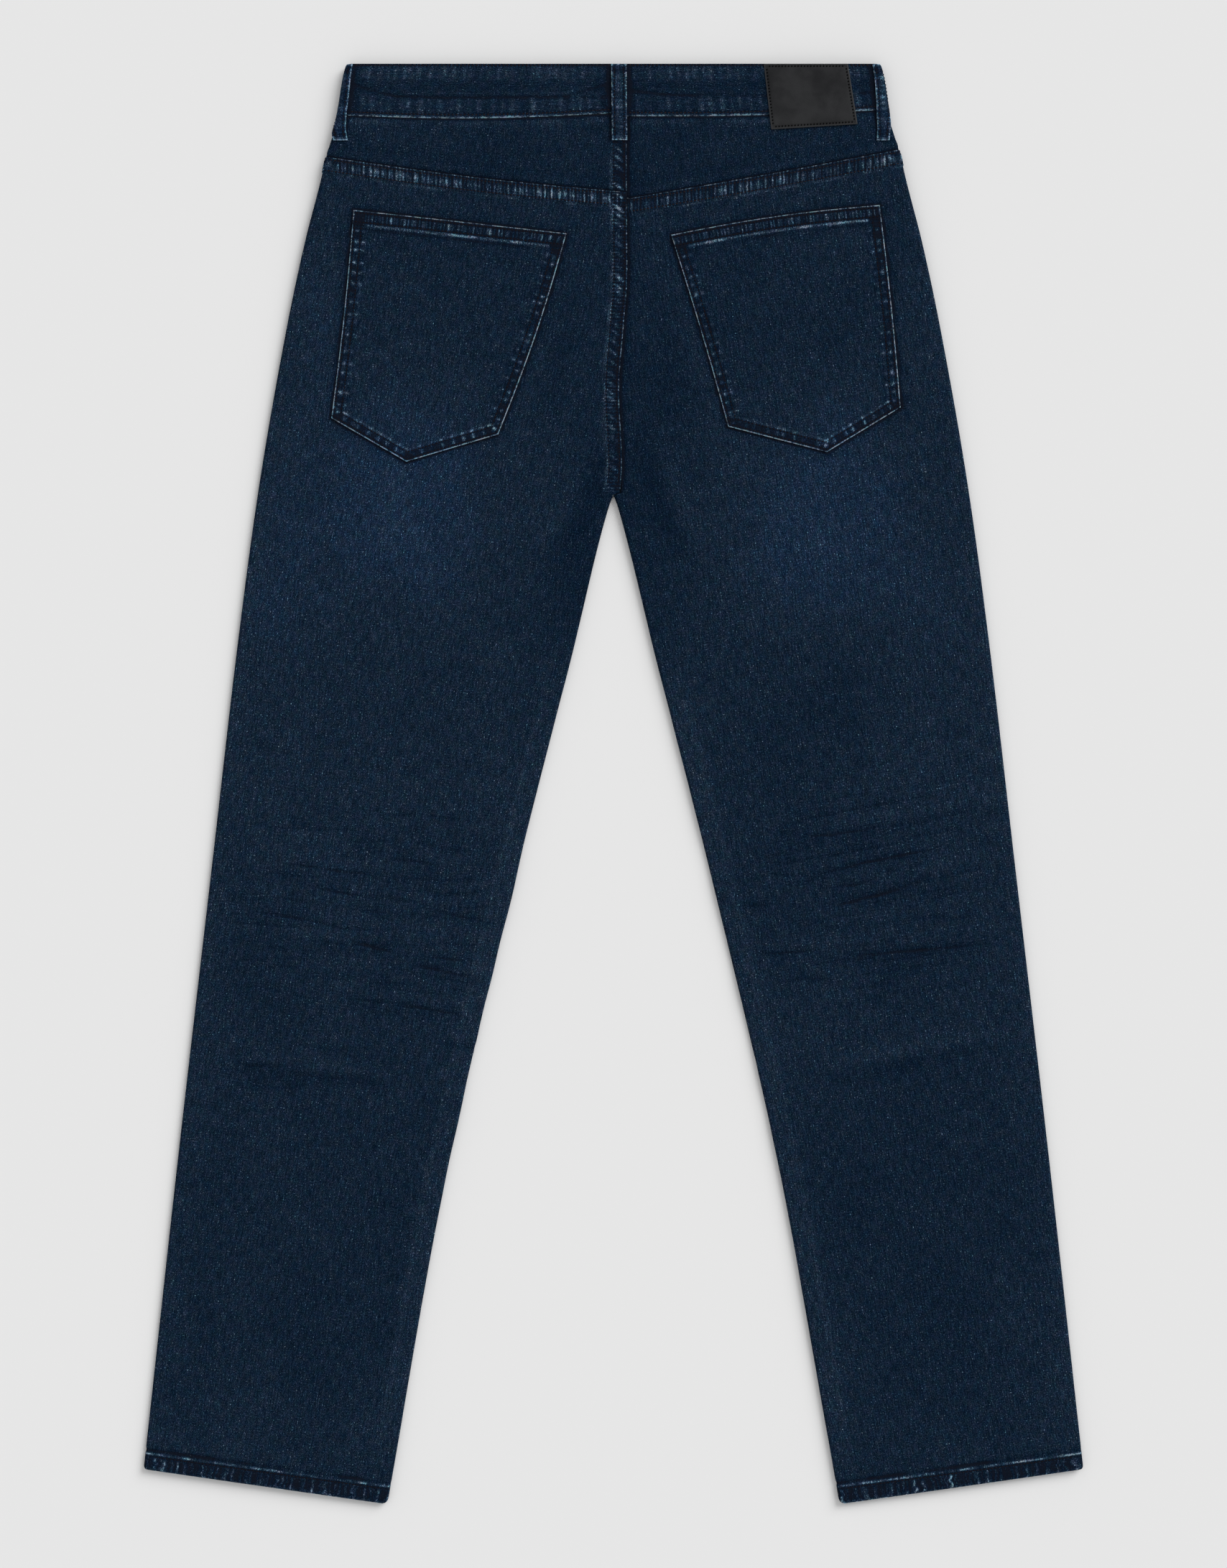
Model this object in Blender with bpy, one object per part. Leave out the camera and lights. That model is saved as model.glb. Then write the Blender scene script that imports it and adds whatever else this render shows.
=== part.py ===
"""Straight leg jeans laid flat with the back upwards, at real size.

X runs across the garment, Y towards the waist and Z up from the surface that it
rests on. The origin is under the middle of the garment. Every cloth piece is a
thin wall between two skins. Its place is worked out from a few sections:
"down" is the distance below the waist's top edge, and "across" the distance
from the centre line towards that side's outseam.
"""

import math

import bmesh
import bpy

# Driving sizes, in metres.
LENGTH = 1.134  # waist edge to the lowest hem corner, flat
WALL = 0.0012  # one ply of denim with its nap
SEAM_WALL = 0.0019  # a felled seam, where the plies are folded into each other
HEM_WALL = 0.0020
SEAM_RAISE = 0.0007  # how far a felled seam stands proud
SEAM_WIDTH = 0.0115
HEM_HEIGHT = 0.0135
GAP = 0.0003  # clearance between pieces that are sewn together
BAND_WALL = 0.0020
BAND_PROUD = 0.0005  # the waistband stands this far out from the panels
SAG = 0.0004  # how far the upper cloth sinks in the middle of a leg
CROTCH = 0.339
CROTCH_TURN = 0.012  # above the crotch, where the flat seam turns into two edges
LOOP_WIDTH = 0.0120
LOOP_WALL = 0.0015
LOOP_SLACK = 0.0003
FLY_EDGE = 0.0060  # the left front laps this far over the centre line
FLY_BOTTOM = 0.1900
UNDERLAP = 0.0320  # how far the waistband's right end runs on behind its left end
UNDERLAP_LIFT = 0.0012  # its lower edge stays this much clear of the fly
OVERLAP_END = 0.0080

LEFT, RIGHT = -1, 1  # the wearer's, which are also the viewer's from behind
SIDE_NAMES = {LEFT: "left", RIGHT: "right"}

# Where the outseam runs: (section, down, across).
OUTSEAM = (
    ("waist", 0.0000, 0.2125),
    ("band", 0.0400, 0.2180),
    ("yoke", 0.0740, 0.2273),
    ("hip", 0.1420, 0.2437),
    ("seat", 0.2100, 0.2581),
    ("crotch", 0.3390, 0.2805),
    ("thigh", 0.4590, 0.2966),
    ("knee", 0.6285, 0.3160),
    ("calf", 0.8700, 0.3446),
    ("hem", 1.1075, 0.3705),
)

# Where the inseam runs: (section, down, across).
INSEAM = (
    ("crotch", 0.3390, 0.0000),
    ("thigh", 0.4590, 0.0311),
    ("knee", 0.6385, 0.0765),
    ("calf", 0.8883, 0.1345),
    ("hem", 1.1340, 0.1777),
)

# The centre back seam's folded edge: (section, down, x).
BACK_SEAM = (
    ("band", 0.0385, 0.0092),
    ("yoke", 0.1004, 0.0106),
    ("hip", 0.1550, 0.0112),
    ("seat", 0.2100, 0.0078),
    ("low seat", 0.2570, 0.0047),
    ("rise", 0.3000, 0.0040),
    ("crotch", 0.3390, 0.0000),
)

# The fly's edge and the centre front seam: (section, down, x).
FRONT_SEAM = (
    ("band", 0.0400, FLY_EDGE),
    ("fly", FLY_BOTTOM - 0.0200, FLY_EDGE),
    ("fly end", FLY_BOTTOM + 0.0300, 0.0000),
    ("crotch", 0.3390, 0.0000),
)

# Height of the lower and the upper skin over the floor: (section, down, under, upper).
LEVELS = (
    ("waist", 0.0000, 0.0026, 0.0082),
    ("band", 0.0450, 0.0026, 0.0082),
    ("hip", 0.1500, 0.0008, 0.0064),
    ("fly end", 0.1900, 0.0003, 0.0059),
    ("seat", 0.2600, 0.0000, 0.0044),
    ("crotch", 0.3390, 0.0000, 0.0038),
    ("knee", 0.6400, 0.0000, 0.0034),
    ("shin", 1.0600, 0.0000, 0.0034),
    ("hem", 1.0940, 0.0000, 0.0047),
    ("foot", 1.1340, 0.0000, 0.0048),
)

# Lines across one half of the garment: down at the centre, down at the side, and bow.
BAND_TOP = {"back": (0.0000, 0.0000, 0.0000), "front": (0.0200, 0.0000, 0.0050)}
BAND_FOOT = {
    ("back", LEFT): (0.0396, 0.0405, 0.0028),
    ("back", RIGHT): (0.0396, 0.0362, 0.0038),
    ("front", LEFT): (0.0610, 0.0405, 0.0050),
    ("front", RIGHT): (0.0610, 0.0362, 0.0050),
}
YOKE_SEAM = {LEFT: (0.1004, 0.0732, 0.0022), RIGHT: (0.1065, 0.0680, 0.0010)}

# Corners of each back pocket: (corner, across, down).
POCKETS = {
    LEFT: (
        ("outer top", 0.2045, 0.1154),
        ("inner top", 0.0370, 0.1336),
        ("inner foot", 0.0908, 0.2917),
        ("tip", 0.1631, 0.3132),
        ("outer foot", 0.2222, 0.2788),
    ),
    RIGHT: (
        ("outer top", 0.2095, 0.1113),
        ("inner top", 0.0453, 0.1348),
        ("inner foot", 0.0903, 0.2856),
        ("tip", 0.1681, 0.3056),
        ("outer foot", 0.2261, 0.2704),
    ),
}
POCKET_BOW = {LEFT: (0.0000, -0.0029), RIGHT: (-0.0028, 0.0010)}  # top edge, inner edge
POCKET_HEM = 0.0130

# Corners of the patch on the right of the waistband: (corner, x, down).
PATCH = (
    ("inner top", 0.1182, 0.0004),
    ("outer top", 0.1844, 0.0004),
    ("outer foot", 0.1920, 0.0478),
    ("inner foot", 0.1241, 0.0520),
)
PATCH_WALL = 0.0014

# Colours from the cloth: (red, green, blue, roughness, metallic).
FINISHES = {
    "denim": (0.0075, 0.0170, 0.0340, 0.90, 0.0),
    "leather": (0.0210, 0.0210, 0.0225, 0.55, 0.0),
    "metal": (0.2600, 0.2500, 0.2400, 0.35, 1.0),
    "tape": (0.0100, 0.0130, 0.0200, 0.80, 0.0),
}


def clear_scene():
    for obj in list(bpy.data.objects):
        bpy.data.objects.remove(obj)


def finish(name):
    """The material of that name, made once."""
    if name in bpy.data.materials:
        return bpy.data.materials[name]
    red, green, blue, roughness, metallic = FINISHES[name]
    material = bpy.data.materials.new(name)
    material.use_nodes = True
    shader = material.node_tree.nodes["Principled BSDF"]
    shader.inputs["Base Color"].default_value = (red, green, blue, 1.0)
    shader.inputs["Roughness"].default_value = roughness
    shader.inputs["Metallic"].default_value = metallic
    return material


def mix(first, second, share):
    return first + (second - first) * share


def ease(share):
    share = min(1.0, max(0.0, share))
    return share * share * (3.0 - 2.0 * share)


def read(table, down, column=2):
    """A table's column at that distance down, on a smooth curve through its rows."""
    downs = [row[1] for row in table]
    values = [row[column] for row in table]
    if down <= downs[0]:
        return values[0]
    if down >= downs[-1]:
        return values[-1]
    slopes = [
        (values[i + 1] - values[i]) / (downs[i + 1] - downs[i])
        for i in range(len(table) - 1)
    ]
    i = next(k for k in range(len(slopes)) if down <= downs[k + 1])
    ends = []
    for k in (i, i + 1):
        before = slopes[max(k - 1, 0)]
        after = slopes[min(k, len(slopes) - 1)]
        turns_back = before * after <= 0.0
        ends.append(0.0 if turns_back else 2.0 * before * after / (before + after))
    span = downs[i + 1] - downs[i]
    t = (down - downs[i]) / span
    return (
        values[i] * (1 + 2 * t) * (1 - t) ** 2
        + ends[0] * span * t * (1 - t) ** 2
        + values[i + 1] * t * t * (3 - 2 * t)
        + ends[1] * span * t * t * (t - 1)
    )


def line_at(line, share):
    """Down along a line that crosses one half, from the centre (0) to the side (1)."""
    centre, side, bow = line
    return mix(centre, side, share) + bow * math.sin(math.pi * share)


def outer_edge(down):
    return read(OUTSEAM, down)


def inner_edge(layer, side, down):
    """Across of a panel's inner edge: a centre seam above the crotch, the inseam below."""
    if down >= CROTCH:
        return read(INSEAM, down) + GAP / 2
    seam = BACK_SEAM if layer == "back" else FRONT_SEAM
    return side * read(seam, down) + GAP / 2


def levels(down):
    """(middle, half the thickness) of the flat garment at that distance down."""
    under, upper = read(LEVELS, down, 2), read(LEVELS, down, 3)
    return (under + upper) / 2, (upper - under) / 2


def sag_at(share):
    return SAG * math.sin(math.pi * min(1.0, max(0.0, share)))


def upper_skin(side, across, down):
    """Height of the back's outer surface at a place inside its edges."""
    middle, half = levels(down)
    inner = inner_edge("back", side, down)
    return middle + half - sag_at((across - inner) / (outer_edge(down) - inner))


def place(side, across, down, height):
    return side * across, LENGTH / 2 - down, height


def sheet_object(name, outer, inner, material):
    """A closed wall between two grids of points, which have the same rows and columns."""
    rows, columns = len(outer), len(outer[0])
    mesh = bpy.data.meshes.new(name)
    bm = bmesh.new()
    skins = [[[bm.verts.new(p) for p in row] for row in grid] for grid in (outer, inner)]
    for skin in skins:
        for i in range(rows - 1):
            for j in range(columns - 1):
                bm.faces.new((skin[i][j], skin[i][j + 1], skin[i + 1][j + 1], skin[i + 1][j]))
    top, low = skins
    for i in range(rows - 1):
        for j in (0, columns - 1):
            bm.faces.new((top[i][j], top[i + 1][j], low[i + 1][j], low[i][j]))
    for j in range(columns - 1):
        for i in (0, rows - 1):
            bm.faces.new((top[i][j], top[i][j + 1], low[i][j + 1], low[i][j]))
    bmesh.ops.recalc_face_normals(bm, faces=bm.faces)
    bm.to_mesh(mesh)
    bm.free()
    mesh.shade_smooth()
    mesh.set_sharp_from_angle(angle=math.radians(40))
    mesh.materials.append(finish(material))
    obj = bpy.data.objects.new(name, mesh)
    bpy.context.scene.collection.objects.link(obj)
    return obj


def spread_rows(table):
    """The table's rows with the wanted number of steps put in between them."""
    rows = []
    for now, after in zip(table, table[1:]):
        steps = now[-1]
        for k in range(steps):
            rows.append([mix(a, b, k / steps) for a, b in zip(now[1:-1], after[1:-1])])
    rows.append(list(table[-1][1:-1]))
    return rows


# Where a panel's columns lie. An arc's value is its angle over the rounded edge in
# degrees, a seam's is its distance from the inner edge, and a flat's its share across.
PANEL_COLUMNS = (
    ("outer arc", 0.0),
    ("outer arc", 45.0),
    ("outer arc", 90.0),
    ("flat", 0.88),
    ("flat", 0.66),
    ("flat", 0.44),
    ("flat", 0.22),
    ("seam", SEAM_WIDTH + 0.0012),
    ("seam", SEAM_WIDTH),
    ("inner arc", 90.0),
    ("inner arc", 45.0),
    ("inner arc", 0.0),
)


def panel_point(layer, side, row, column, seam_raised, depth):
    """A point of a panel's outer skin, or of its inner skin where depth is the wall."""
    outer_down, inner_down, bow, _, raised, lifted = row
    kind, value = column
    sign = 1.0 if layer == "back" else -1.0
    outer, inner = outer_edge(outer_down), inner_edge(layer, side, inner_down)
    width = outer - inner
    half = levels((outer_down + inner_down) / 2)[1]
    turn = ease((inner_down - CROTCH + CROTCH_TURN) / CROTCH_TURN)
    angle = math.radians(value)
    inset = depth + (half - depth) * (1 - math.cos(angle))
    share = {
        "outer arc": 1.0 - inset / width,
        "inner arc": mix(half * (1 - math.cos(angle)), inset, turn) / width,
        "seam": value / width,
        "flat": value,
    }[kind]
    down = mix(inner_down, outer_down, share) + bow * math.sin(math.pi * share)
    middle, half = levels(down)
    rise = half - depth
    if layer == "back":
        rise += lifted * math.sin(math.pi * share) ** 2 - sag_at(share)
    if depth == 0.0 and layer == "back":
        in_seam = seam_raised and (kind == "inner arc" or value == SEAM_WIDTH)
        seam_share = 1.0 - ease((inner_down - CROTCH + 0.030) / 0.020)
        rise += max(raised, SEAM_RAISE * seam_share if in_seam else 0.0)
    if kind == "outer arc":
        rise = max(GAP / 2, rise * math.sin(angle))
    if kind == "inner arc":
        rise = mix(rise, max(GAP / 2, rise * math.sin(angle)), turn)
    return place(side, mix(inner, outer, share), down, middle + sign * rise)


def panel(name, layer, side, table, seam_raised=False):
    """A leg, yoke or front panel, from its table of rows."""
    rows = spread_rows(table)
    outer, inner = [], []
    for row in rows:
        wall = row[3]
        outer.append([panel_point(layer, side, row, c, seam_raised, 0.0) for c in PANEL_COLUMNS])
        inner.append([panel_point(layer, side, row, c, seam_raised, wall) for c in PANEL_COLUMNS])
    return sheet_object(name, outer, inner, "denim")


# A panel's rows each give: (section, down at the outseam, down at the inner edge, bow,
# wall, how far the outer skin stands proud, how far a fold lifts the cloth, steps to the
# next row). These are the rows that the front and back legs share.
THIGH_ROWS = (
    ("crotch", 0.3370, CROTCH, 0.0, WALL, 0.0, 0.0, 1),
    ("below crotch", 0.3500, 0.3520, 0.0, WALL, 0.0, 0.0, 3),
    ("thigh", 0.4590, 0.4620, 0.0, WALL, 0.0, 0.0, 3),
)
HEM_TOP = HEM_HEIGHT + 0.0015
SHIN_ROWS = (
    ("calf", 0.8700, 0.8883, 0.0, WALL, 0.0, 0.0, 3),
    ("hem top", 1.1075 - HEM_TOP, 1.1340 - HEM_TOP, 0.0, WALL, 0.0, 0.0, 1),
    ("hem fold", 1.1075 - HEM_HEIGHT, 1.1340 - HEM_HEIGHT, 0.0, HEM_WALL, 0.0003, 0.0, 1),
    ("hem", 1.1075, 1.1340, 0.0, HEM_WALL, 0.0003, 0.0, 1),
)

# The largest folds behind each knee: (down at the outseam, at the inseam, reach, height).
KNEE_FOLDS = {
    LEFT: ((0.6600, 0.6900, 0.0150, 0.0016), (0.7400, 0.7700, 0.0180, 0.0012)),
    RIGHT: ((0.6100, 0.6500, 0.0150, 0.0014), (0.6900, 0.7150, 0.0160, 0.0016)),
}


def fold_rows(side):
    rows = []
    for outer_down, inner_down, reach, height in KNEE_FOLDS[side]:
        for name, step, share in (("above fold", -1, 0.0), ("fold", 0, 1.0), ("below fold", 1, 0.0)):
            downs = (outer_down + step * reach, inner_down + step * reach)
            rows.append((name, *downs, 0.0, WALL, 0.0, share * height, 1))
    return tuple(rows)


def back_leg(side):
    centre, edge, bow = YOKE_SEAM[side]
    foot, under = SEAM_WIDTH, SEAM_WIDTH + 0.0012
    rows = (
        ("yoke seam", edge, centre, bow, SEAM_WALL, SEAM_RAISE, 0.0, 1),
        ("seam foot", edge + foot, centre + foot, bow, SEAM_WALL, SEAM_RAISE, 0.0, 1),
        ("under seam", edge + under, centre + under, bow, WALL, 0.0, 0.0, 2),
        ("seat", 0.1900, 0.2000, 0.0, WALL, 0.0, 0.0, 3),
        ("rise", 0.3200, 0.3240, 0.0, WALL, 0.0, 0.0, 1),
    )
    rows += THIGH_ROWS + fold_rows(side) + SHIN_ROWS
    return panel(f"back_{SIDE_NAMES[side]}", "back", side, rows, seam_raised=side == LEFT)


def yoke(side):
    top, foot = BAND_FOOT["back", side], YOKE_SEAM[side]
    rows = (
        ("band", top[1] + GAP, top[0] + GAP, top[2], WALL, 0.0, 0.0, 3),
        ("yoke seam", foot[1] - GAP, foot[0] - GAP, foot[2], WALL, 0.0, 0.0, 1),
    )
    return panel(f"yoke_{SIDE_NAMES[side]}", "back", side, rows, seam_raised=side == LEFT)


def front_leg(side):
    centre, edge, bow = BAND_FOOT["front", side]
    wall = SEAM_WALL if side == LEFT else WALL
    rows = (
        ("band", edge + GAP, centre + GAP, bow, wall, 0.0, 0.0, 3),
        ("fly end", 0.1850, FLY_BOTTOM, 0.0, wall, 0.0, 0.0, 1),
        ("under fly", 0.2050, FLY_BOTTOM + 0.0150, 0.0, WALL, 0.0, 0.0, 2),
        ("rise", 0.3200, 0.3240, 0.0, WALL, 0.0, 0.0, 1),
    )
    knee = (("knee", 0.6285, 0.6385, 0.0, WALL, 0.0, 0.0, 1),)
    return panel(f"front_{SIDE_NAMES[side]}", "front", side, rows + THIGH_ROWS + knee + SHIN_ROWS)


def band_levels(down):
    middle, half = levels(down)
    return middle, half + BAND_PROUD


# Where the waistband's stations lie on each half, from its centre to its fold. The flat
# ones match the panels' columns, so the edges that are sewn together run side by side.
BAND_HALF = (
    ("flat", 0.0),
    ("flat", 0.22),
    ("flat", 0.44),
    ("flat", 0.66),
    ("flat", 0.88),
    ("arc", 90.0),
    ("arc", 45.0),
    ("arc", 0.0),
)


def band_stations():
    """The waistband's way round, from its left front end to its right front end.

    Each station is (layer, side, kind, value, share of the way tucked behind the other end).
    """
    out = [(kind, value, 0.0) for kind, value in BAND_HALF]
    back = out[-2::-1]
    stations = [("front", RIGHT, "across", OVERLAP_END, 0.0)]
    stations += [("front", LEFT, *station) for station in out]
    stations += [("back", LEFT, *station) for station in back]
    stations += [("back", RIGHT, *station) for station in out[1:]]
    stations += [("front", RIGHT, *station) for station in back[:-1]]
    stations += [("front", RIGHT, "across", 0.0280, 0.0), ("front", RIGHT, "across", 0.0140, 1.0)]
    stations += [("front", LEFT, "across", UNDERLAP, 1.0)]
    return stations


def band_point(station, height_share, depth):
    layer, side, kind, value, tucked = station
    top, foot = BAND_TOP[layer], BAND_FOOT[layer, side]
    inner, outer = inner_edge(layer, side, 0.0), outer_edge(foot[1] * height_share)
    half = band_levels(0.0)[1]
    turned = math.radians(value if kind == "arc" else 90.0)
    inset = depth + (half - depth) * (1 - math.cos(turned))
    share = {
        "flat": value,
        "arc": 1.0 - inset / (outer - inner),
        "across": (value - inner) / (outer - inner),
    }[kind]
    foot_down = line_at(foot, share) - tucked * UNDERLAP_LIFT
    down = mix(line_at(top, share), foot_down, height_share)
    middle = band_levels(down)[0]
    rise = (half - depth - tucked * (BAND_WALL + GAP)) * math.sin(turned)
    sign = 1.0 if layer == "back" else -1.0
    return place(side, mix(inner, outer, share), down, middle + sign * rise)


def waistband():
    """One strip that runs all round, with its ends lapped at the centre front."""
    stations, rows = band_stations(), (0.0, 0.5, 1.0)
    outer = [[band_point(s, share, 0.0) for s in stations] for share in rows]
    inner = [[band_point(s, share, BAND_WALL) for s in stations] for share in rows]
    return sheet_object("waistband", outer, inner, "denim")


# A belt loop's run down the waistband: (part, down from its top, share of the slack).
LOOP_ROWS = (
    ("top fold", 0.0000, 0.0),
    ("leaving", 0.0070, 0.6),
    ("belt top", 0.0160, 1.0),
    ("belt foot", 0.0340, 1.0),
    ("landing", 0.0440, 0.5),
    ("bar tack", 0.0520, 0.0),
    ("foot", 0.0590, 0.0),
)


def loop_rows(steps):
    """(down, slack) along a loop, with that many steps from each part to the next."""
    rows = []
    for now, after in zip(LOOP_ROWS, LOOP_ROWS[1:]):
        rows += [(mix(now[1], after[1], k / steps), mix(now[2], after[2], k / steps)) for k in range(steps)]
    return rows + [LOOP_ROWS[-1][1:]]


def loop_level(layer, side, across, down):
    """Height of what a loop lies on: the waistband, and then the panel under it."""
    share = min(1.0, across / outer_edge(down))
    foot = line_at(BAND_FOOT[layer, side], share)
    past = ease((down - foot + 0.004) / 0.010)
    middle, half = levels(down)
    return middle, half + BAND_PROUD * (1.0 - past)


def flat_loop(name, layer, side, across, top, over=0.0):
    """A belt loop that lies wholly on the back or the front."""
    sign = 1.0 if layer == "back" else -1.0
    grids = []
    for wall in (LOOP_WALL, 0.0):
        grid = []
        for step, slack in loop_rows(1):
            down = top + step
            middle, half = loop_level(layer, side, across, down)
            lies_on_seam = over * ease((step - 0.036) / 0.008)
            rise = half + GAP + slack * LOOP_SLACK + lies_on_seam + wall
            edges = (across - LOOP_WIDTH / 2, across + LOOP_WIDTH / 2)
            grid.append([place(side, a, down, middle + sign * rise) for a in edges])
        grids.append(grid)
    return sheet_object(name, grids[0], grids[1], "denim")


# A side loop slants over the fold: (side, girth of its lower edge at the top and foot).
SIDE_LOOPS = {LEFT: (-0.0045, 0.0050), RIGHT: (0.0005, 0.0065)}
SIDE_LOOP_COLUMNS = 8


def girth_point(side, girth, down, lift):
    """A point at that distance round from the fold, lift clear of the waistband."""
    middle, half = loop_level("back", side, outer_edge(down), down)
    quarter = half * math.pi / 2
    turned = min(1.0, abs(girth) / quarter) * math.pi / 2
    flat = max(0.0, abs(girth) - quarter)
    across = outer_edge(down) - half - flat + (half + lift) * math.cos(turned)
    sign = 1.0 if girth >= 0 else -1.0
    return place(side, across, down, middle + sign * (half + lift) * math.sin(turned))


def side_loop(side):
    top, foot = SIDE_LOOPS[side]
    grids = []
    for wall in (LOOP_WALL, 0.0):
        grid = []
        for step, slack in loop_rows(3):
            start = mix(top, foot, step / LOOP_ROWS[-1][1])
            lift = GAP + slack * LOOP_SLACK + wall
            girths = [start + LOOP_WIDTH * k / SIDE_LOOP_COLUMNS for k in range(SIDE_LOOP_COLUMNS + 1)]
            grid.append([girth_point(side, g, 0.0010 + step, lift) for g in girths])
        grids.append(grid)
    return sheet_object(f"loop_side_{SIDE_NAMES[side]}", grids[0], grids[1], "denim")


POCKET_SHARES = (0.0, 0.25, 0.5, 0.75, 1.0)
TIP_SHARE = 0.45


def pocket_plan(side, share, fall):
    """(across, down) inside a pocket: share 0 is its outer edge, fall 0 its top."""
    corners = {name: (across, down) for name, across, down in POCKETS[side]}
    top_bow, inner_bow = POCKET_BOW[side]
    if share < TIP_SHARE:
        ends = ("outer foot", "tip", share / TIP_SHARE)
    else:
        ends = ("tip", "inner foot", (share - TIP_SHARE) / (1 - TIP_SHARE))
    top = [mix(a, b, share) for a, b in zip(corners["outer top"], corners["inner top"])]
    top[1] += top_bow * math.sin(math.pi * share)
    foot = [mix(a, b, ends[2]) for a, b in zip(corners[ends[0]], corners[ends[1]])]
    across = mix(top[0], foot[0], fall) + inner_bow * share * math.sin(math.pi * fall)
    return across, mix(top[1], foot[1], fall)


def pocket(side):
    """A back pocket, which lies on its leg panel and is thicker at its hemmed top."""
    shares = sorted(set(POCKET_SHARES) | {TIP_SHARE})
    hem = POCKET_HEM / 0.165
    falls = ((0.0, SEAM_WALL), (hem, SEAM_WALL), (hem + 0.008, WALL), (0.35, WALL), (0.68, WALL), (1.0, WALL))
    outer, inner = [], []
    for fall, wall in falls:
        places = [pocket_plan(side, share, fall) for share in shares]
        heights = [upper_skin(side, across, down) + GAP for across, down in places]
        outer.append([place(side, a, d, h + wall) for (a, d), h in zip(places, heights)])
        inner.append([place(side, a, d, h) for (a, d), h in zip(places, heights)])
    return sheet_object(f"pocket_{SIDE_NAMES[side]}", outer, inner, "denim")


def patch():
    """The leather patch, which lies on the waistband and reaches a little below it."""
    corners = {name: (x, down) for name, x, down in PATCH}
    middle, half = band_levels(0.02)
    under = middle + half + GAP
    outer, inner = [], []
    for fall in (0.0, 0.5, 1.0):
        ends = [
            [mix(a, b, fall) for a, b in zip(corners[edge + " top"], corners[edge + " foot"])]
            for edge in ("inner", "outer")
        ]
        places = [[mix(a, b, share) for a, b in zip(*ends)] for share in (0.0, 0.5, 1.0)]
        outer.append([place(RIGHT, x, down, under + PATCH_WALL) for x, down in places])
        inner.append([place(RIGHT, x, down, under) for x, down in places])
    return sheet_object("patch", outer, inner, "leather")


# The waist button, turned about its shank: (part, radius, height over the floor).
BUTTON_PROFILE = (
    ("face rim", 0.0062, 0.0001),
    ("edge", 0.0084, 0.0005),
    ("rim back", 0.0084, 0.0010),
    ("shoulder", 0.0040, 0.0013),
    ("shank", 0.0030, 0.0018),
)
BUTTON_SIDES = 20


def button():
    """The metal button under the lapped end of the waistband. It faces the floor."""
    across = 0.0080
    down = line_at(BAND_TOP["front"], 0.0) + 0.0205
    bm = bmesh.new()
    rings = []
    for _, radius, height in BUTTON_PROFILE:
        ring = []
        for k in range(BUTTON_SIDES):
            angle = 2 * math.pi * k / BUTTON_SIDES
            ring.append(bm.verts.new((radius * math.cos(angle), radius * math.sin(angle), height)))
        rings.append(ring)
    for low, high in zip(rings, rings[1:]):
        for k in range(BUTTON_SIDES):
            after = (k + 1) % BUTTON_SIDES
            bm.faces.new((low[k], low[after], high[after], high[k]))
    bm.faces.new(rings[0])
    bm.faces.new(rings[-1])
    bmesh.ops.recalc_face_normals(bm, faces=bm.faces)
    mesh = bpy.data.meshes.new("button")
    bm.to_mesh(mesh)
    bm.free()
    mesh.shade_smooth()
    mesh.set_sharp_from_angle(angle=math.radians(35))
    mesh.materials.append(finish("metal"))
    obj = bpy.data.objects.new("button", mesh)
    bpy.context.scene.collection.objects.link(obj)
    obj.location = place(LEFT, across, down, 0.0)
    return obj


# The closed zip behind the fly: (part, x, height over the front's inner skin, wall).
ZIP_COLUMNS = (
    ("left tape", -0.0200, 0.0000, 0.0006),
    ("left coil", -0.0085, 0.0000, 0.0006),
    ("coil", -0.0080, 0.0000, 0.0013),
    ("coil end", -0.0035, 0.0000, 0.0013),
    ("right coil", -0.0030, 0.0000, 0.0006),
    ("right tape", 0.0085, 0.0000, 0.0006),
)


def zip_strip():
    """The fly's zip, closed, as one strip of tape with its coil. The fly covers it."""
    top, foot = 0.0640, FLY_BOTTOM - 0.0080
    outer, inner = [], []
    for share in (0.0, 0.33, 0.66, 1.0):
        down = mix(top, foot, share)
        middle, half = levels(down)
        under = middle - half + SEAM_WALL + GAP
        outer.append([place(RIGHT, x, down, under + lift + wall) for _, x, lift, wall in ZIP_COLUMNS])
        inner.append([place(RIGHT, x, down, under + lift) for _, x, lift, wall in ZIP_COLUMNS])
    return sheet_object("zip", outer, inner, "tape")


def build():
    clear_scene()
    for side in (LEFT, RIGHT):
        back_leg(side)
        yoke(side)
        front_leg(side)
        pocket(side)
        side_loop(side)
        front_top = line_at(BAND_TOP["front"], 0.45) + 0.0010
        flat_loop(f"loop_front_{SIDE_NAMES[side]}", "front", side, 0.0950, front_top)
    waistband()
    flat_loop("loop_back", "back", RIGHT, 0.0044, 0.0010, over=SEAM_RAISE)
    patch()
    button()
    zip_strip()


build()
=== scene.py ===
import math

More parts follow.
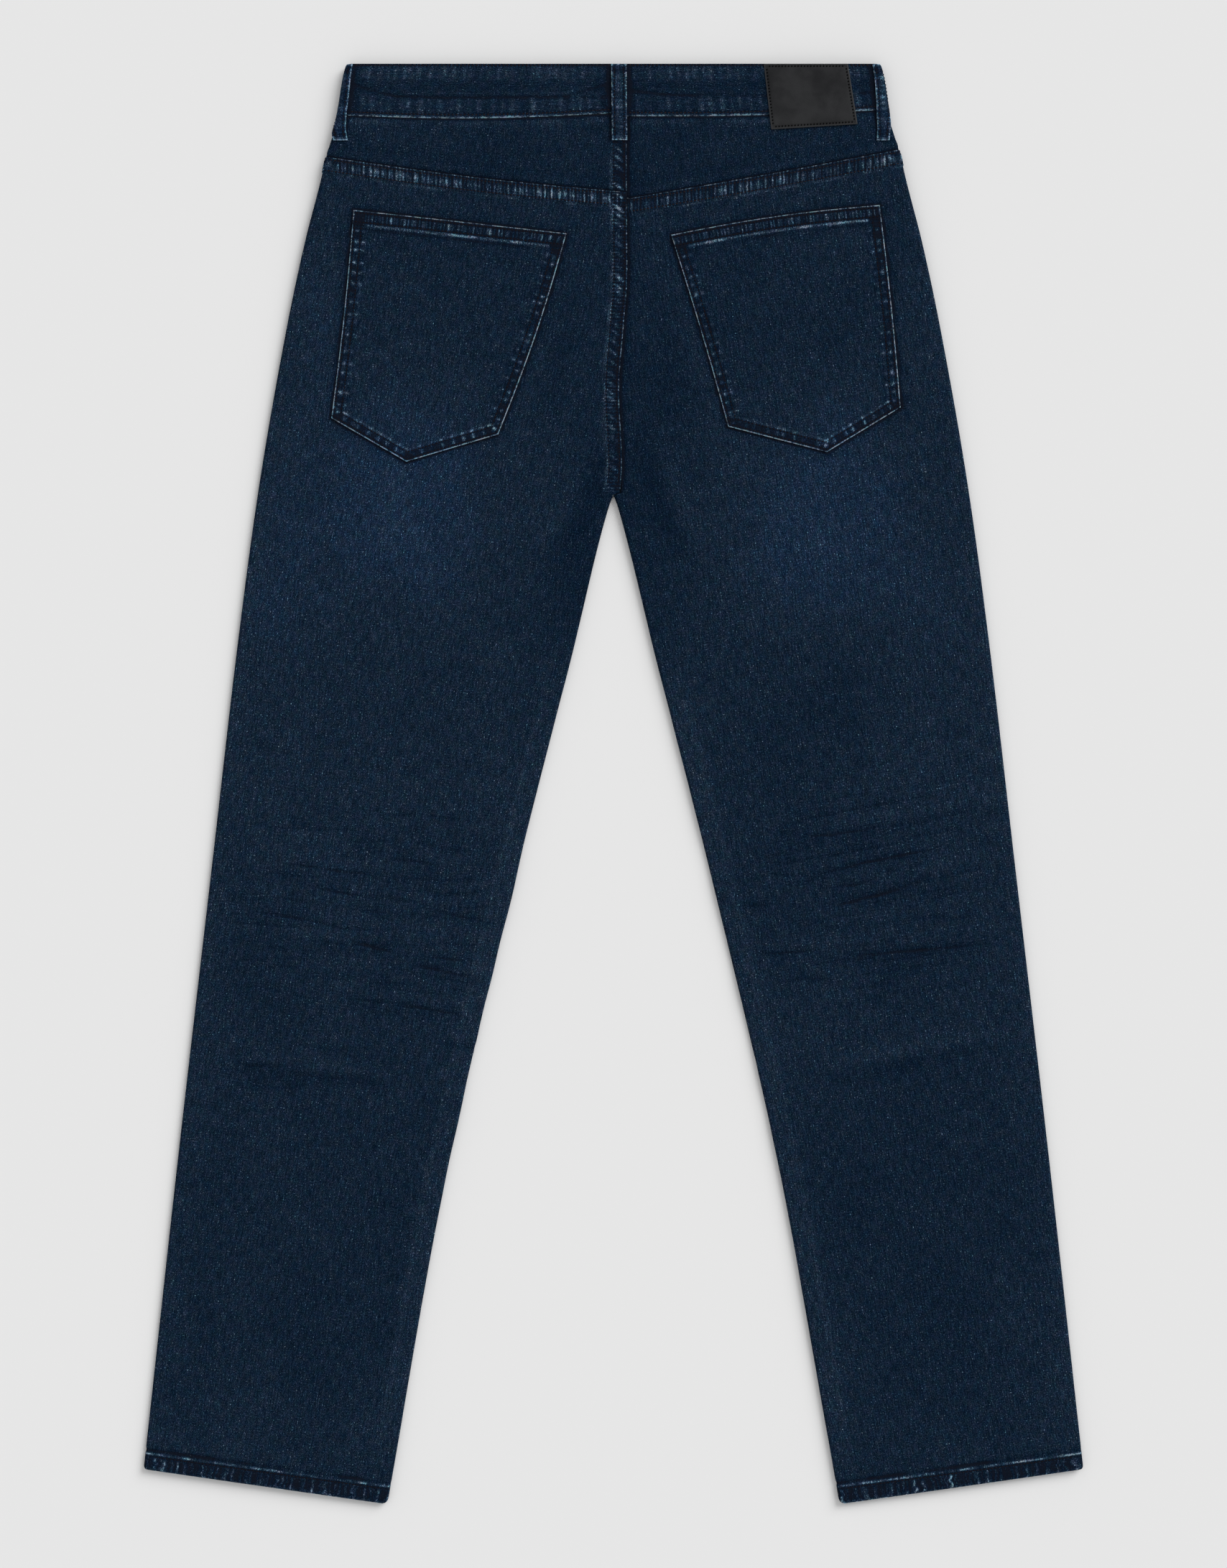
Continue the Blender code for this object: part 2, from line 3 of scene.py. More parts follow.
import bmesh
import bpy
import numpy as np
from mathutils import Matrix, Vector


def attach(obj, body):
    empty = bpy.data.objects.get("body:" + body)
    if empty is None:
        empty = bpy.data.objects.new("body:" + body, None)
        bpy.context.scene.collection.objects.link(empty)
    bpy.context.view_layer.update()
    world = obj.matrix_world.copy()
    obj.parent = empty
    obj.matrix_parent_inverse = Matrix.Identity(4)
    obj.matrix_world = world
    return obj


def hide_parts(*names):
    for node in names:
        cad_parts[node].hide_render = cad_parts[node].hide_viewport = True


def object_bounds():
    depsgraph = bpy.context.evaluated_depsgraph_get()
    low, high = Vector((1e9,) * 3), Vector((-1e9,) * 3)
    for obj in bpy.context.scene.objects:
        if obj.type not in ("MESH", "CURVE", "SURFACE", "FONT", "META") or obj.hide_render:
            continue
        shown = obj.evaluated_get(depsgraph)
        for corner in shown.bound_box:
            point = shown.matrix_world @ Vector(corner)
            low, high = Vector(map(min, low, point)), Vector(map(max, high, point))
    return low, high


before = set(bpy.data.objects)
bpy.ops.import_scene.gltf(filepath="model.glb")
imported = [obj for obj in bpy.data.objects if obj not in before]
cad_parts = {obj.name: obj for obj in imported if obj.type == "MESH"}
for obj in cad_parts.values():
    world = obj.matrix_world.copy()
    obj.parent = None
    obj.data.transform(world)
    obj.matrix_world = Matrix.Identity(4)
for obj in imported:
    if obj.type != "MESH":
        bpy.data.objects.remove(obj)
cadLow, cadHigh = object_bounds()
halfLength = cadHigh.y  # the waist's top edge is this far up from the middle
left, right = -1, 1  # the wearer's sides, and the viewer's too, as the back is up
words = {left: "left", right: "right"}
backLoopCentre = 0.0042  # across, which is a little to the right of the middle
print("frame loaded")

# outline: section, distance down from the waist, distance out from the centre

outSeam = (
    ("waist", 0.0000, 0.2090),
    ("waist corner", 0.0060, 0.2105),
    ("band", 0.0400, 0.2162),
    ("under band", 0.0560, 0.2212),
    ("yoke", 0.0740, 0.2266),
    ("under yoke", 0.0900, 0.2303),
    ("hip", 0.1420, 0.2437),
    ("seat", 0.2100, 0.2581),
    ("crotch", 0.3390, 0.2805),
    ("thigh", 0.4590, 0.2966),
    ("knee", 0.6285, 0.3163),
    ("calf", 0.8700, 0.3443),
    ("hem", 1.1075, 0.3705),
)
inSeam = (
    ("crotch", 0.3390, 0.0000),
    ("under crotch", 0.3480, 0.0034),
    ("thigh", 0.4590, 0.0311),
    ("knee", 0.6385, 0.0766),
    ("calf", 0.8883, 0.1343),
    ("hem", 1.1340, 0.1780),
)
backSeam = (
    ("band", 0.0385, 0.0104),
    ("yoke", 0.1004, 0.0106),
    ("hip", 0.1650, 0.0110),
    ("seat", 0.2100, 0.0078),
    ("low seat", 0.2570, 0.0045),
    ("rise", 0.3140, 0.0068),
    ("crotch", 0.3390, 0.0050),
)
frontSeam = (
    ("band", 0.0400, 0.0060),
    ("fly", 0.1700, 0.0060),
    ("fly end", 0.2200, 0.0000),
    ("crotch", 0.3390, 0.0000),
)
# the lower and the upper face of the flat garment over the floor
levelRows = (
    ("waist", 0.0000, 0.0026, 0.0084),
    ("band", 0.0450, 0.0026, 0.0084),
    ("hip", 0.1500, 0.0008, 0.0072),
    ("seat", 0.2600, 0.0000, 0.0062),
    ("crotch", 0.3390, 0.0000, 0.0056),
    ("knee", 0.6400, 0.0000, 0.0050),
    ("shin", 1.0600, 0.0000, 0.0048),
    ("hem", 1.0940, 0.0005, 0.0052),
    ("foot", 1.1340, 0.0005, 0.0052),
)
# how a leg's cross lines slant: down at the inner edge, down at the outseam
slantRows = {
    "band": (0.0396, 0.0400),
    "seat": (0.2000, 0.1900),
    "crotch": (0.3390, 0.3370),
    "thigh": (0.4620, 0.4590),
    "knee": (0.6385, 0.6285),
    "calf": (0.8883, 0.8700),
    "hem": (1.1340, 1.1075),
}
# lines across one half: down at the centre, down at the side, bow
bandFoot = {
    ("back", left): (0.0388, 0.0405, 0.0034),
    ("back", right): (0.0412, 0.0362, 0.0020),
    ("front", left): (0.0610, 0.0405, 0.0050),
    ("front", right): (0.0610, 0.0362, 0.0050),
}
bandTop = {"back": (0.0, 0.0, 0.0), "front": (0.0200, 0.0, 0.0050)}
yokeLine = {left: (0.1010, 0.0732, 0.0025), right: (0.1062, 0.0676, 0.0008)}
hemLine = (1.1340, 1.1075, 0.0)
seam = {
    "width": 0.0115,
    "raise": 0.0008,
    "firstRow": 0.0020,  # where the two rows of stitches lie, from the folded edge
    "secondRow": 0.0104,
    "wall": 0.0010,
    "gap": 0.0003,
    "hem": 0.0135,
    "hemRow": 0.0112,
    "corner": 0.0040,
    "bandProud": 0.0006,
    "crotchTurn": 0.012,
}


# small helpers

def mix(a, b, t):
    return a + (b - a) * t


def ease(t):
    t = np.clip(t, 0.0, 1.0)
    return t * t * (3.0 - 2.0 * t)


def bell(x, width):
    return np.exp(-((x / width) ** 2))


def window(x, low, high, soft):
    return ease((x - low) / soft + 0.5) * ease((high - x) / soft + 0.5)


def readTable(rows, down, column=2):
    # a smooth curve through the rows, which never overshoots them
    xs = np.array([row[1] for row in rows])
    ys = np.array([row[column] for row in rows])
    slopes = np.diff(ys) / np.diff(xs)
    together = slopes[:-1] * slopes[1:]
    total = np.where(together > 0.0, slopes[:-1] + slopes[1:], 1.0)
    ends = np.concatenate(
        [slopes[:1], np.where(together > 0.0, 2 * together / total, 0.0), slopes[-1:]]
    )
    x = np.clip(down, xs[0], xs[-1])
    i = np.clip(np.searchsorted(xs, x, side="right") - 1, 0, len(xs) - 2)
    span = xs[i + 1] - xs[i]
    t = (x - xs[i]) / span
    value = ys[i] * (1 + 2 * t) * (1 - t) ** 2 + ends[i] * span * t * (1 - t) ** 2
    return value + ys[i + 1] * t * t * (3 - 2 * t) + ends[i + 1] * span * t * t * (t - 1)


noiseTables = {}


def noise2(x, y, seed):
    # smooth value noise from -1 to 1
    if seed not in noiseTables:
        noiseTables[seed] = np.random.RandomState(seed).uniform(-1, 1, (256, 256))
    table = noiseTables[seed]
    x, y = np.broadcast_arrays(np.asarray(x, float), np.asarray(y, float))
    i, j = np.floor(x).astype(int), np.floor(y).astype(int)
    s, t = ease(x - i), ease(y - j)
    i, j = i % 255, j % 255
    return mix(mix(table[i, j], table[i + 1, j], s), mix(table[i, j + 1], table[i + 1, j + 1], s), t)


def noise1(x, seed):
    return noise2(x, 0.37 * seed, seed)


def lineDown(line, share):
    return mix(line[0], line[1], share) + line[2] * np.sin(np.pi * np.clip(share, 0.0, 1.0))


# the flat garment's surface

def outerEdge(down):
    return readTable(outSeam, down)


def innerEdge(layer, side, down):
    down = np.asarray(down, float)
    seamLine = backSeam if layer == "back" else frontSeam
    above = side * readTable(seamLine, down)
    below = readTable(inSeam, down)
    return np.where(down < inSeam[0][1], above, below) + seam["gap"] / 2


def levels(down):
    under, upper = readTable(levelRows, down, 2), readTable(levelRows, down, 3)
    return (under + upper) / 2, (upper - under) / 2


def crotchShare(down):
    return ease((down - inSeam[0][1] + seam["crotchTurn"]) / seam["crotchTurn"])


upwards = {"back": 1.0, "front": -1.0}  # which way each layer's outer face looks


def inFrame(side, across, down, height):
    # points in the part's frame, from places in plan and their height
    return np.stack(np.broadcast_arrays(side * across, halfLength - down, height), axis=-1)


def clothPoint(layer, side, across, down, lift):
    # points of the outer cloth, and their normals, for places in plan. The cloth rolls under at the
    # outseam, and at the inseam below the crotch.
    across, down, lift = np.broadcast_arrays(across, down, lift)
    sign = upwards[layer]
    middle, half = levels(down)
    outer, inner = outerEdge(down), innerEdge(layer, side, down)
    turnOut = np.arccos(np.clip(1 - np.clip((outer - across) / half, 0, 1), 0, 1))
    turnIn = np.arccos(np.clip(1 - np.clip((across - inner) / half, 0, 1), 0, 1))
    turnIn = mix(np.pi / 2, turnIn, crotchShare(down))
    sine = np.minimum(np.sin(turnOut), np.sin(turnIn))
    outward = np.cos(turnOut) - np.cos(turnIn)
    share = np.clip((across - inner) / (outer - inner), 0, 1)
    puff = 0.0006 * np.sin(np.pi * share) if layer == "back" else 0.0
    rise = np.maximum(seam["gap"] / 2, half * sine) + puff + lift * sine
    points = inFrame(side, across + outward * lift, down, middle + sign * rise)
    normals = np.stack([side * outward, np.zeros_like(outward), sign * sine], axis=-1)
    return points, normals / np.linalg.norm(normals, axis=-1, keepdims=True)


# creases behind the knees: across and down at both ends, bow, depth

creases = {
    left: (
        (0.256, 0.630, 0.188, 0.639, 0.0000, 0.00070),
        (0.176, 0.626, 0.136, 0.632, -0.0005, 0.00070),
        (0.240, 0.647, 0.194, 0.656, 0.0005, 0.00075),
        (0.196, 0.657, 0.146, 0.663, -0.0015, 0.00040),
        (0.150, 0.664, 0.104, 0.675, 0.0005, 0.00060),
        (0.282, 0.668, 0.208, 0.682, -0.0012, 0.00080),
        (0.203, 0.691, 0.172, 0.700, 0.0010, 0.00070),
        (0.150, 0.703, 0.116, 0.706, 0.0000, 0.00050),
        (0.160, 0.710, 0.112, 0.720, -0.0008, 0.00075),
        (0.194, 0.724, 0.164, 0.725, -0.0005, 0.00050),
        (0.172, 0.741, 0.119, 0.750, -0.0010, 0.00080),
        (0.300, 0.727, 0.268, 0.729, -0.0010, 0.00040),
        (0.276, 0.694, 0.252, 0.699, 0.0000, 0.00045),
        (0.272, 0.711, 0.248, 0.712, 0.0000, 0.00040),
        (0.266, 0.656, 0.238, 0.661, 0.0000, 0.00040),
        (0.172, 0.612, 0.112, 0.620, 0.0000, 0.00040),
        (0.148, 0.654, 0.106, 0.652, 0.0018, 0.00045),
        (0.200, 0.667, 0.174, 0.669, 0.0000, 0.00040),
        (0.226, 0.624, 0.198, 0.624, 0.0000, 0.00035),
        (0.176, 0.641, 0.110, 0.643, 0.0012, 0.00035),
        (0.290, 0.599, 0.190, 0.604, 0.0008, 0.00030),
        (0.210, 0.737, 0.158, 0.740, 0.0000, 0.00035),
        (0.220, 0.780, 0.184, 0.784, 0.0000, 0.00035),
        (0.302, 0.785, 0.255, 0.790, 0.0018, 0.00060),
        (0.258, 0.795, 0.196, 0.800, 0.0008, 0.00035),
        (0.206, 0.803, 0.176, 0.804, 0.0000, 0.00030),
        (0.300, 0.676, 0.262, 0.679, 0.0000, 0.00030),
        (0.142, 0.690, 0.104, 0.695, 0.0008, 0.00035),
        (0.246, 0.718, 0.206, 0.722, 0.0000, 0.00030),
        (0.214, 0.612, 0.166, 0.611, 0.0010, 0.00028),
    ),
    right: (
        (0.126, 0.601, 0.250, 0.576, -0.0010, 0.00060),
        (0.154, 0.609, 0.206, 0.602, 0.0005, 0.00060),
        (0.122, 0.631, 0.230, 0.612, 0.0008, 0.00045),
        (0.150, 0.642, 0.256, 0.618, -0.0018, 0.00070),
        (0.206, 0.637, 0.250, 0.629, 0.0005, 0.00045),
        (0.172, 0.664, 0.250, 0.641, 0.0012, 0.00075),
        (0.114, 0.638, 0.154, 0.639, 0.0000, 0.00040),
        (0.112, 0.701, 0.162, 0.698, 0.0005, 0.00060),
        (0.160, 0.698, 0.218, 0.690, 0.0004, 0.00035),
        (0.192, 0.702, 0.298, 0.692, 0.0010, 0.00075),
        (0.140, 0.722, 0.174, 0.721, -0.0004, 0.00045),
        (0.234, 0.674, 0.264, 0.670, 0.0000, 0.00050),
        (0.256, 0.673, 0.286, 0.671, 0.0008, 0.00045),
        (0.248, 0.658, 0.272, 0.652, 0.0000, 0.00045),
        (0.100, 0.665, 0.126, 0.661, 0.0000, 0.00050),
        (0.176, 0.649, 0.206, 0.643, 0.0000, 0.00045),
        (0.256, 0.691, 0.292, 0.679, 0.0004, 0.00030),
        (0.152, 0.710, 0.200, 0.702, 0.0008, 0.00030),
        (0.232, 0.600, 0.284, 0.586, 0.0000, 0.00030),
        (0.128, 0.647, 0.166, 0.641, 0.0010, 0.00035),
        (0.150, 0.678, 0.200, 0.668, 0.0000, 0.00030),
        (0.216, 0.714, 0.262, 0.708, 0.0010, 0.00028),
        (0.260, 0.640, 0.292, 0.633, 0.0000, 0.00030),
    ),
}
# wide soft folds in the same form, then how wide: a hollow under a low ridge
folds = {
    left: (
        (0.315, 0.790, 0.180, 0.803, 0.0020, 0.00070, 0.006),
        (0.290, 0.690, 0.120, 0.706, 0.0000, 0.00040, 0.008),
        (0.300, 0.636, 0.110, 0.640, 0.0030, 0.00040, 0.006),
        (0.280, 0.662, 0.130, 0.672, 0.0000, 0.00035, 0.005),
        (0.230, 0.742, 0.115, 0.754, -0.0020, 0.00035, 0.006),
        (0.006, 0.300, 0.046, 0.395, 0.0040, 0.00070, 0.009),
        (0.030, 0.200, 0.060, 0.300, -0.0040, 0.00040, 0.012),
    ),
    right: (
        (0.160, 0.802, 0.318, 0.771, 0.0010, 0.00080, 0.007),
        (0.110, 0.668, 0.270, 0.640, 0.0000, 0.00045, 0.008),
        (0.110, 0.622, 0.290, 0.588, 0.0000, 0.00040, 0.006),
        (0.120, 0.705, 0.300, 0.694, 0.0020, 0.00040, 0.006),
        (0.130, 0.646, 0.260, 0.618, 0.0010, 0.00030, 0.005),
        (0.018, 0.285, 0.060, 0.400, 0.0040, 0.00080, 0.009),
        (0.034, 0.180, 0.070, 0.290, 0.0040, 0.00045, 0.012),
    ),
}
faintCreases = {
    "count": 40,
    "length": (0.020, 0.075),
    "depth": (0.00012, 0.00034),
    "across": (0.115, 0.285),
    "down": (0.672, 0.062),  # middle and spread
    "slope": {left: -0.10, right: -0.20},
    "slopeSpread": 0.05,
    "bow": 0.002,
    "seed": 52,
}


def faintSet(side):
    # the small creases between the main ones, each with its own length and slope
    pick = np.random.RandomState(faintCreases["seed"] + side)
    rows = []
    for _ in range(faintCreases["count"]):
        length, depth = pick.uniform(*faintCreases["length"]), pick.uniform(*faintCreases["depth"])
        middle = pick.uniform(*faintCreases["across"])
        middleDown = faintCreases["down"][0] + faintCreases["down"][1] * pick.normal()
        slope = faintCreases["slope"][side] + faintCreases["slopeSpread"] * pick.normal()
        rows.append((
            middle - length / 2, middleDown - slope * length / 2,
            middle + length / 2, middleDown + slope * length / 2,
            faintCreases["bow"] * pick.normal() * length / 0.06, depth,
        ))
    return rows


allCreases = {side: [*creases[side], *faintSet(side)] for side in (left, right)}


def alongLine(start, startDown, end, endDown, bow, across, down):
    # how far along a bowed line each place is, from 0 to 1, and how far below it
    reach, fall = end - start, endDown - startDown
    length = math.hypot(reach, fall)
    run = np.clip(((across - start) * reach + (down - startDown) * fall) / length**2, 0, 1)
    off = ((down - startDown) * reach - (across - start) * fall) / length
    off = off if reach > 0 else -off
    away = np.hypot(across - start - run * reach, down - startDown - run * fall)
    past = away > 1.02 * np.abs(off) + 0.0002
    return run, np.where(past, 1.0, off - bow * np.sin(np.pi * run))


# what each face takes of the field below: depths as they are, and painted shade on the dye's ramp
creased = {
    "back": {"sharpDepth": 0.70, "softDepth": 0.60, "sharpShade": 150, "softShade": 90},
    "front": {"sharpDepth": 0.50, "softDepth": 0.40, "sharpShade": 100, "softShade": 60},
}


def creaseField(side, across, down):
    # how deep the creases are here, as (sharp troughs, soft hollows beside them)
    sharp, soft = np.zeros_like(across), np.zeros_like(across)
    wander = 0.0006 * noise2(across / 0.009, down / 0.05, 41)
    broken = 1 + 0.30 * noise2(across / 0.011, down / 0.02, 43)
    for start, startDown, end, endDown, bow, depth in allCreases[side]:
        run, off = alongLine(start, startDown, end, endDown, bow, across, down)
        off = off + wander
        taper = np.sin(np.pi * run) ** 0.42 * broken
        # the trough's lower lip comes out negative, so where the field is taken as painted shade the lip
        # is painted lighter
        sharp += depth * taper * (bell(off, 0.0010) - 0.35 * bell(off - 0.0025, 0.0013))
        soft += 0.8 * depth * taper * bell(off, 0.0045)
    for start, startDown, end, endDown, bow, depth, width in folds[side]:
        run, off = alongLine(start, startDown, end, endDown, bow, across, down)
        soft += depth * np.sin(np.pi * run) ** 0.7 * (
            bell(off, width) - 0.8 * bell(off + 1.7 * width, width)
        )
    return sharp, soft


swells = {"slow": 0.0009, "rolls": 0.00022, "rollPitch": 0.0092, "fine": 0.00016}


def swell(side, across, down):
    # broad, low unevenness of cloth that has been laid down by hand
    along = down + 0.1 * side * across
    slow = noise2(across / 0.075, along / 0.11, 3 + side)
    knee = window(down, 0.56, 0.86, 0.16)
    drift = 2.2 * noise2(across / 0.06, down / 0.05, 8 + side)
    rolls = np.sin((down - 0.12 * across) / swells["rollPitch"] + drift)
    fine = noise2(across / 0.021, along / 0.034, 12 + side)
    return swells["slow"] * slow + knee * swells["rolls"] * rolls + swells["fine"] * fine


# seams: how the cloth ropes along a line of stitches

stitch = {"pitch": 0.00285, "length": 0.0016, "radius": 0.00036, "sides": 5, "sink": 0.00020}


def bars(along, pitch, width, seed, uneven=0.75, jitter=0.30):
    # separate puckers across a seam, no two alike, from 0 to 1
    table = np.random.RandomState(seed).uniform(0, 1, (3, 512))
    place = np.asarray(along) / pitch
    total = np.zeros(place.shape)
    for near in (-1, 0, 1):
        k = np.floor(place).astype(int) + near
        shift, weak, wide = (row[k % 512] for row in table)
        off = (place - k - 0.5 - jitter * (2 * shift - 1)) * pitch
        total = np.maximum(total, (1 - uneven * weak) * bell(off, width * (0.65 + 0.7 * wide)))
    return total


def patches(along, length, seed, low=0.25):
    # uneven strength of a worn line, from low to 1
    return np.clip(
        0.62 + 0.8 * noise1(along / length, seed) + 0.25 * noise1(3.1 * along / length, seed + 1),
        low,
        1,
    )


felled = {  # a felled seam: sizes in metres, wear in steps of the dye's ramp
    "pitch": 0.0051,
    "width": 0.0011,
    "rungHeight": 0.00042,
    "footHeight": 0.00022,
    "rowDepth": 0.00026,
    "rungWear": 0.76,
    "thinWear": 0.42,
    "betweenShade": 0.18,
    "footWear": 0.26,
    "rowShade": 0.46,
    "tugWear": 0.34,
}


def seamRelief(off, along, seed, lean=0.0, pitch=felled["pitch"], width=felled["width"], strength=1.0):
    # a felled seam's height, and its wear with painted shade in its rows of stitches. off is the distance
    # from its folded edge.
    end = seam["width"]
    waver = 0.0004 * noise1(off / 0.002, seed)
    rungs = bars(along + lean * off + waver, pitch, width, seed, uneven=0.62)
    thin = bars(along + lean * off, 0.52 * pitch, 0.5 * width, seed + 9, uneven=0.9)
    band = ease(off / 0.0003 + 0.5) * ease((end + 0.0008 - off) / 0.0016 + 0.5)
    between = window(off, 0.0028, end - 0.0022, 0.0016)
    rows = bell(off - seam["firstRow"], 0.0006) + bell(off - seam["secondRow"], 0.0006)
    tugs = 0.5 + 0.5 * np.cos(2 * np.pi * along / stitch["pitch"])
    height = seam["raise"] * band + felled["rungHeight"] * (rungs - 0.4) * between
    height += felled["footHeight"] * (rungs - 0.4) * bell(off - end - 0.001, 0.0022) * (off > end)
    height -= felled["rowDepth"] * band * rows + 0.00030 * np.exp(-np.abs(off) / 0.0004) * (off >= 0)
    wide = window(off, 0.0014, end - 0.0010, 0.0022)
    clusters = 0.75 + 0.35 * noise1(along / 0.022, seed + 2)
    rubbed = felled["rungWear"] * strength * rungs + felled["thinWear"] * thin
    wearAndShade = wide * clusters * rubbed * (0.60 + 0.5 * bell(off - 0.0062, 0.0024))
    wearAndShade = wearAndShade - felled["betweenShade"] * between
    wearAndShade += felled["footWear"] * bell(off - end - 0.0012, 0.0010) * patches(along, 0.008, seed + 5)
    # painted shade in the rows of stitches, and a softer painted shade round the first row
    wearAndShade -= felled["rowShade"] * rows * (1 - 0.8 * tugs)
    wearAndShade -= 0.16 * band * bell(off - seam["firstRow"], 0.0020)
    wearAndShade += felled["tugWear"] * (tugs - 0.5) * window(off, 0.0002, end, 0.001)
    return height, wearAndShade


hem = {  # a turned hem, in the same units
    "pitch": 0.0092,
    "width": 0.0010,
    "finePitch": 0.0039,
    "fineWidth": 0.0008,
    "rise": 0.0005,
    "rungHeight": 0.00045,
    "rowDepth": 0.00030,
    "hollowDepth": 0.0006,
    "topWear": 0.66,
    "rungWear": 0.82,
    "fineWear": 0.55,
    "footWear": 0.44,
    "insideShade": 0.23,
    "hollowShade": 0.32,
    "rowShade": 0.24,
}


def hemRelief(up, along, seed):
    # the turned hem's height, and its wear with painted shade in the hollow above it and in its row of
    # stitches. up is the distance from its lowest edge.
    height, row = seam["hem"], seam["hemRow"]
    band = ease((height - up) / 0.0012 + 0.5)
    wobble = along + 0.16 * up + 0.0013 * noise2(up / 0.0032, along / 0.012, seed)
    rungs = bars(wobble, hem["pitch"], hem["width"], seed, uneven=0.9, jitter=0.42)
    fine = bars(wobble, hem["finePitch"], hem["fineWidth"], seed + 4, uneven=1.0)
    inside = band * ease(up / 0.002) * ease((row - 0.001 - up) / 0.002 + 0.5)
    hollow = patches(along, 0.017, seed + 3, 0.15)
    relief = hem["rise"] * band + hem["rungHeight"] * (rungs - 0.3) * inside
    relief = relief - hem["rowDepth"] * bell(up - row, 0.0006)
    relief += 0.00030 * bell(up - height + 0.0005, 0.0008)
    relief -= hem["hollowDepth"] * hollow * bell(up - height - 0.0022, 0.0018)
    relief -= 0.0009 * np.exp(-up / 0.0006)
    wearAndShade = hem["topWear"] * bell(up - height + 0.0003, 0.0008) * patches(along, 0.006, seed + 7, 0.05)
    wearAndShade -= hem["hollowShade"] * hollow * bell(up - height - 0.0022, 0.0016)
    specks = 0.7 + 0.5 * noise2(up / 0.0016, along / 0.0020, seed + 11)
    rubbed = hem["rungWear"] * rungs * specks + hem["fineWear"] * fine * specks
    wearAndShade += inside * (rubbed - hem["insideShade"])
    low = np.maximum(rungs, bars(along, 0.0034, hem["fineWidth"], seed + 8, uneven=1.0))
    wearAndShade += hem["footWear"] * bell(up - 0.0012, 0.0011) * low
    wearAndShade -= hem["rowShade"] * bell(up - row, 0.0008)
    return relief, wearAndShade


# where the cloth is lighter (worn seat and thighs) or darker: x, down, reach across, reach down, amount

fadeSpots = (
    (-0.160, 0.352, 0.075, 0.085, 0.100),
    (0.164, 0.362, 0.072, 0.090, 0.100),
    (-0.235, 0.200, 0.030, 0.090, 0.030),
    (-0.262, 0.470, 0.040, 0.130, 0.040),
    (0.240, 0.480, 0.045, 0.140, 0.025),
    (0.010, 0.215, 0.045, 0.110, -0.045),
    (0.040, 0.270, 0.028, 0.090, -0.035),
    (-0.030, 0.400, 0.030, 0.085, -0.045),
    (0.035, 0.410, 0.030, 0.085, -0.045),
    (-0.012, 0.335, 0.020, 0.035, -0.050),
    (0.018, 0.335, 0.020, 0.035, -0.030),
    (-0.250, 0.900, 0.100, 0.200, -0.014),
    (0.100, 0.150, 0.060, 0.050, -0.012),
    (0.110, 0.520, 0.040, 0.120, -0.020),
    (-0.255, 0.940, 0.090, 0.120, -0.016),
    (0.245, 0.940, 0.100, 0.170, -0.036),
    (-0.300, 1.010, 0.040, 0.080, 0.012),
    (-0.190, 0.640, 0.060, 0.060, 0.020),
    (0.210, 0.680, 0.070, 0.070, 0.014),
    (-0.120, 0.090, 0.100, 0.030, -0.010),
    (0.120, 0.075, 0.100, 0.030, 0.006),
    (-0.250, 1.000, 0.080, 0.060, -0.028),
    (0.220, 0.850, 0.080, 0.080, -0.026),
    (0.160, 0.510, 0.060, 0.060, -0.022),
    (-0.030, 0.400, 0.024, 0.050, -0.045),
    (0.150, 0.200, 0.060, 0.060, -0.020),
    (-0.035, 0.200, 0.022, 0.080, -0.016),
    (0.200, 0.690, 0.050, 0.050, -0.012),
    (0.185, 0.490, 0.075, 0.060, -0.030),
)


def fadeAt(x, down):
    total = 0.022 * noise2(x / 0.045 + 7, down / 0.070, 21)
    total = total + 0.014 * noise2(x / 0.014, down / 0.022, 22)
    for centre, centreDown, reachX, reachDown, amount in fadeSpots:
        away = -(((x - centre) / reachX) ** 2) - ((down - centreDown) / reachDown) ** 2
        total = total + amount * np.exp(away)
    return total


# mesh building

def pickEvery(count, step):
    return sorted(set(range(0, count, step)) | {count - 1})


